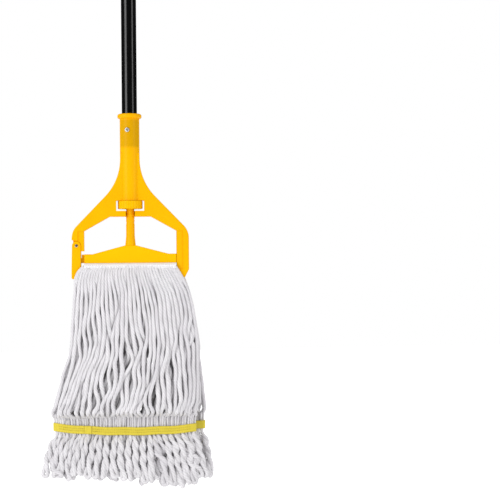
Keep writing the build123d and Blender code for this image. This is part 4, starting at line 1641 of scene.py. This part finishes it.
@dataclass
class Studio:
    """Pale floor, white surround, soft boxes and the camera."""

    distance: float = 2.2
    eye_drop: float = 0.2307
    turn: float = math.radians(5.25)
    roll: float = math.radians(0.5)
    view_width: float = 0.8464
    view_depth: float = 50.0
    floor_drop: float = 0.86
    floor_half: float = 6.0
    aim_drop: float = 0.25
    boxes: tuple[SoftBox, ...] = (
        SoftBox("Key box", -50.0, 18.0, (1.3, 2.2), 34.0, 2.6),
        SoftBox("Fill box", 56.0, 10.0, (0.7, 2.0), 13.0, 2.6),
    )

    def hang(self, soft_box: SoftBox) -> None:
        """Hang one area light that faces the mop's head.

        Args:
            soft_box: The light's size, power and place.
        """
        light = bpy.data.lights.new(soft_box.name, "AREA")
        light.shape = "RECTANGLE"
        light.size, light.size_y = soft_box.size
        light.energy = soft_box.power
        box = bpy.data.objects.new(soft_box.name, light)
        aim = Vector((0.0, 0.0, MOUTH - self.aim_drop))
        a, b = math.radians(soft_box.bearing), math.radians(soft_box.lift)
        away = Vector((math.sin(a) * math.cos(b), -math.cos(a) * math.cos(b), math.sin(b)))
        box.location = aim + away * soft_box.reach
        box.rotation_euler = (-away).to_track_quat("-Z", "Y").to_euler()
        bpy.context.scene.collection.objects.link(box)

    def surround(self) -> None:
        """White world that glossy surfaces see only faintly, as in a flagged studio."""
        world = bpy.data.worlds.new("Studio surround")
        bpy.context.scene.world = world
        world.use_nodes = True
        graph = Graph(world.node_tree)
        back = world.node_tree.nodes["Background"]
        rays = graph.add("ShaderNodeLightPath")
        lit = graph.blend(rays.outputs["Is Glossy Ray"], (0.62, 0.62, 0.63), (0.03, 0.03, 0.03))
        graph.join(graph.blend(rays.outputs["Is Camera Ray"], lit, (1.0, 1.0, 1.0)), back.inputs["Color"])

    def floor(self) -> None:
        """Pale floor well below the yarn."""
        half = self.floor_half
        mesh = bpy.data.meshes.new("studio_floor")
        height = MOUTH - self.floor_drop
        turns = ((-half, -half), (half, -half), (half, half), (-half, half))
        corners = [(x, y, height) for x, y in turns]
        mesh.from_pydata(corners, [], [(0, 1, 2, 3)])
        material, graph, shader = start_material("Pale floor")
        place = graph.add("ShaderNodeTexCoord").outputs["Object"]
        cloud = graph.span(graph.noise(place, 3.0), 0.3, 0.7, 0.0, 1.0)
        tone = graph.blend(cloud, (0.9, 0.9, 0.9), (0.88, 0.88, 0.88))
        graph.join(tone, shader.inputs["Base Color"])
        shader.inputs["Roughness"].default_value = 0.9
        shader.inputs["Emission Color"].default_value = (1.0, 1.0, 1.0, 1.0)
        rays = graph.add("ShaderNodeLightPath")
        glow = graph.maths("MULTIPLY_ADD", rays.outputs["Is Camera Ray"], 0.6, 0.3)
        graph.join(glow, shader.inputs["Emission Strength"])
        place_mesh("studio_floor", mesh, material)

    def camera(self) -> None:
        """Level camera straight in front of the mop, turned a little to the right."""
        lens = bpy.data.cameras.new("Camera")
        lens.sensor_fit = "HORIZONTAL"
        lens.angle = 2 * math.atan(self.view_width / 2 / self.distance)
        lens.clip_end = self.view_depth
        eye = bpy.data.objects.new("Camera", lens)
        eye.location = (0.0, -self.distance, MOUTH - self.eye_drop)
        eye.rotation_mode = "XYZ"
        eye.rotation_euler = (math.pi / 2, self.roll, -self.turn)
        bpy.context.scene.collection.objects.link(eye)
        bpy.context.scene.camera = eye

    def build(self) -> None:
        """Set up the whole stage."""
        self.camera()
        self.surround()
        self.floor()
        for soft_box in self.boxes:
            self.hang(soft_box)
        bpy.context.scene.view_settings.view_transform = "Standard"


def main() -> None:
    """Build the stage, dress the hard nodes and make the yarn head."""
    logging.basicConfig(level=logging.INFO, format="%(message)s")
    Studio().build()
    shared = Finishes()
    ClampHead().dress(shared)
    YarnHead().build(shared)


if __name__ == "__main__":
    main()
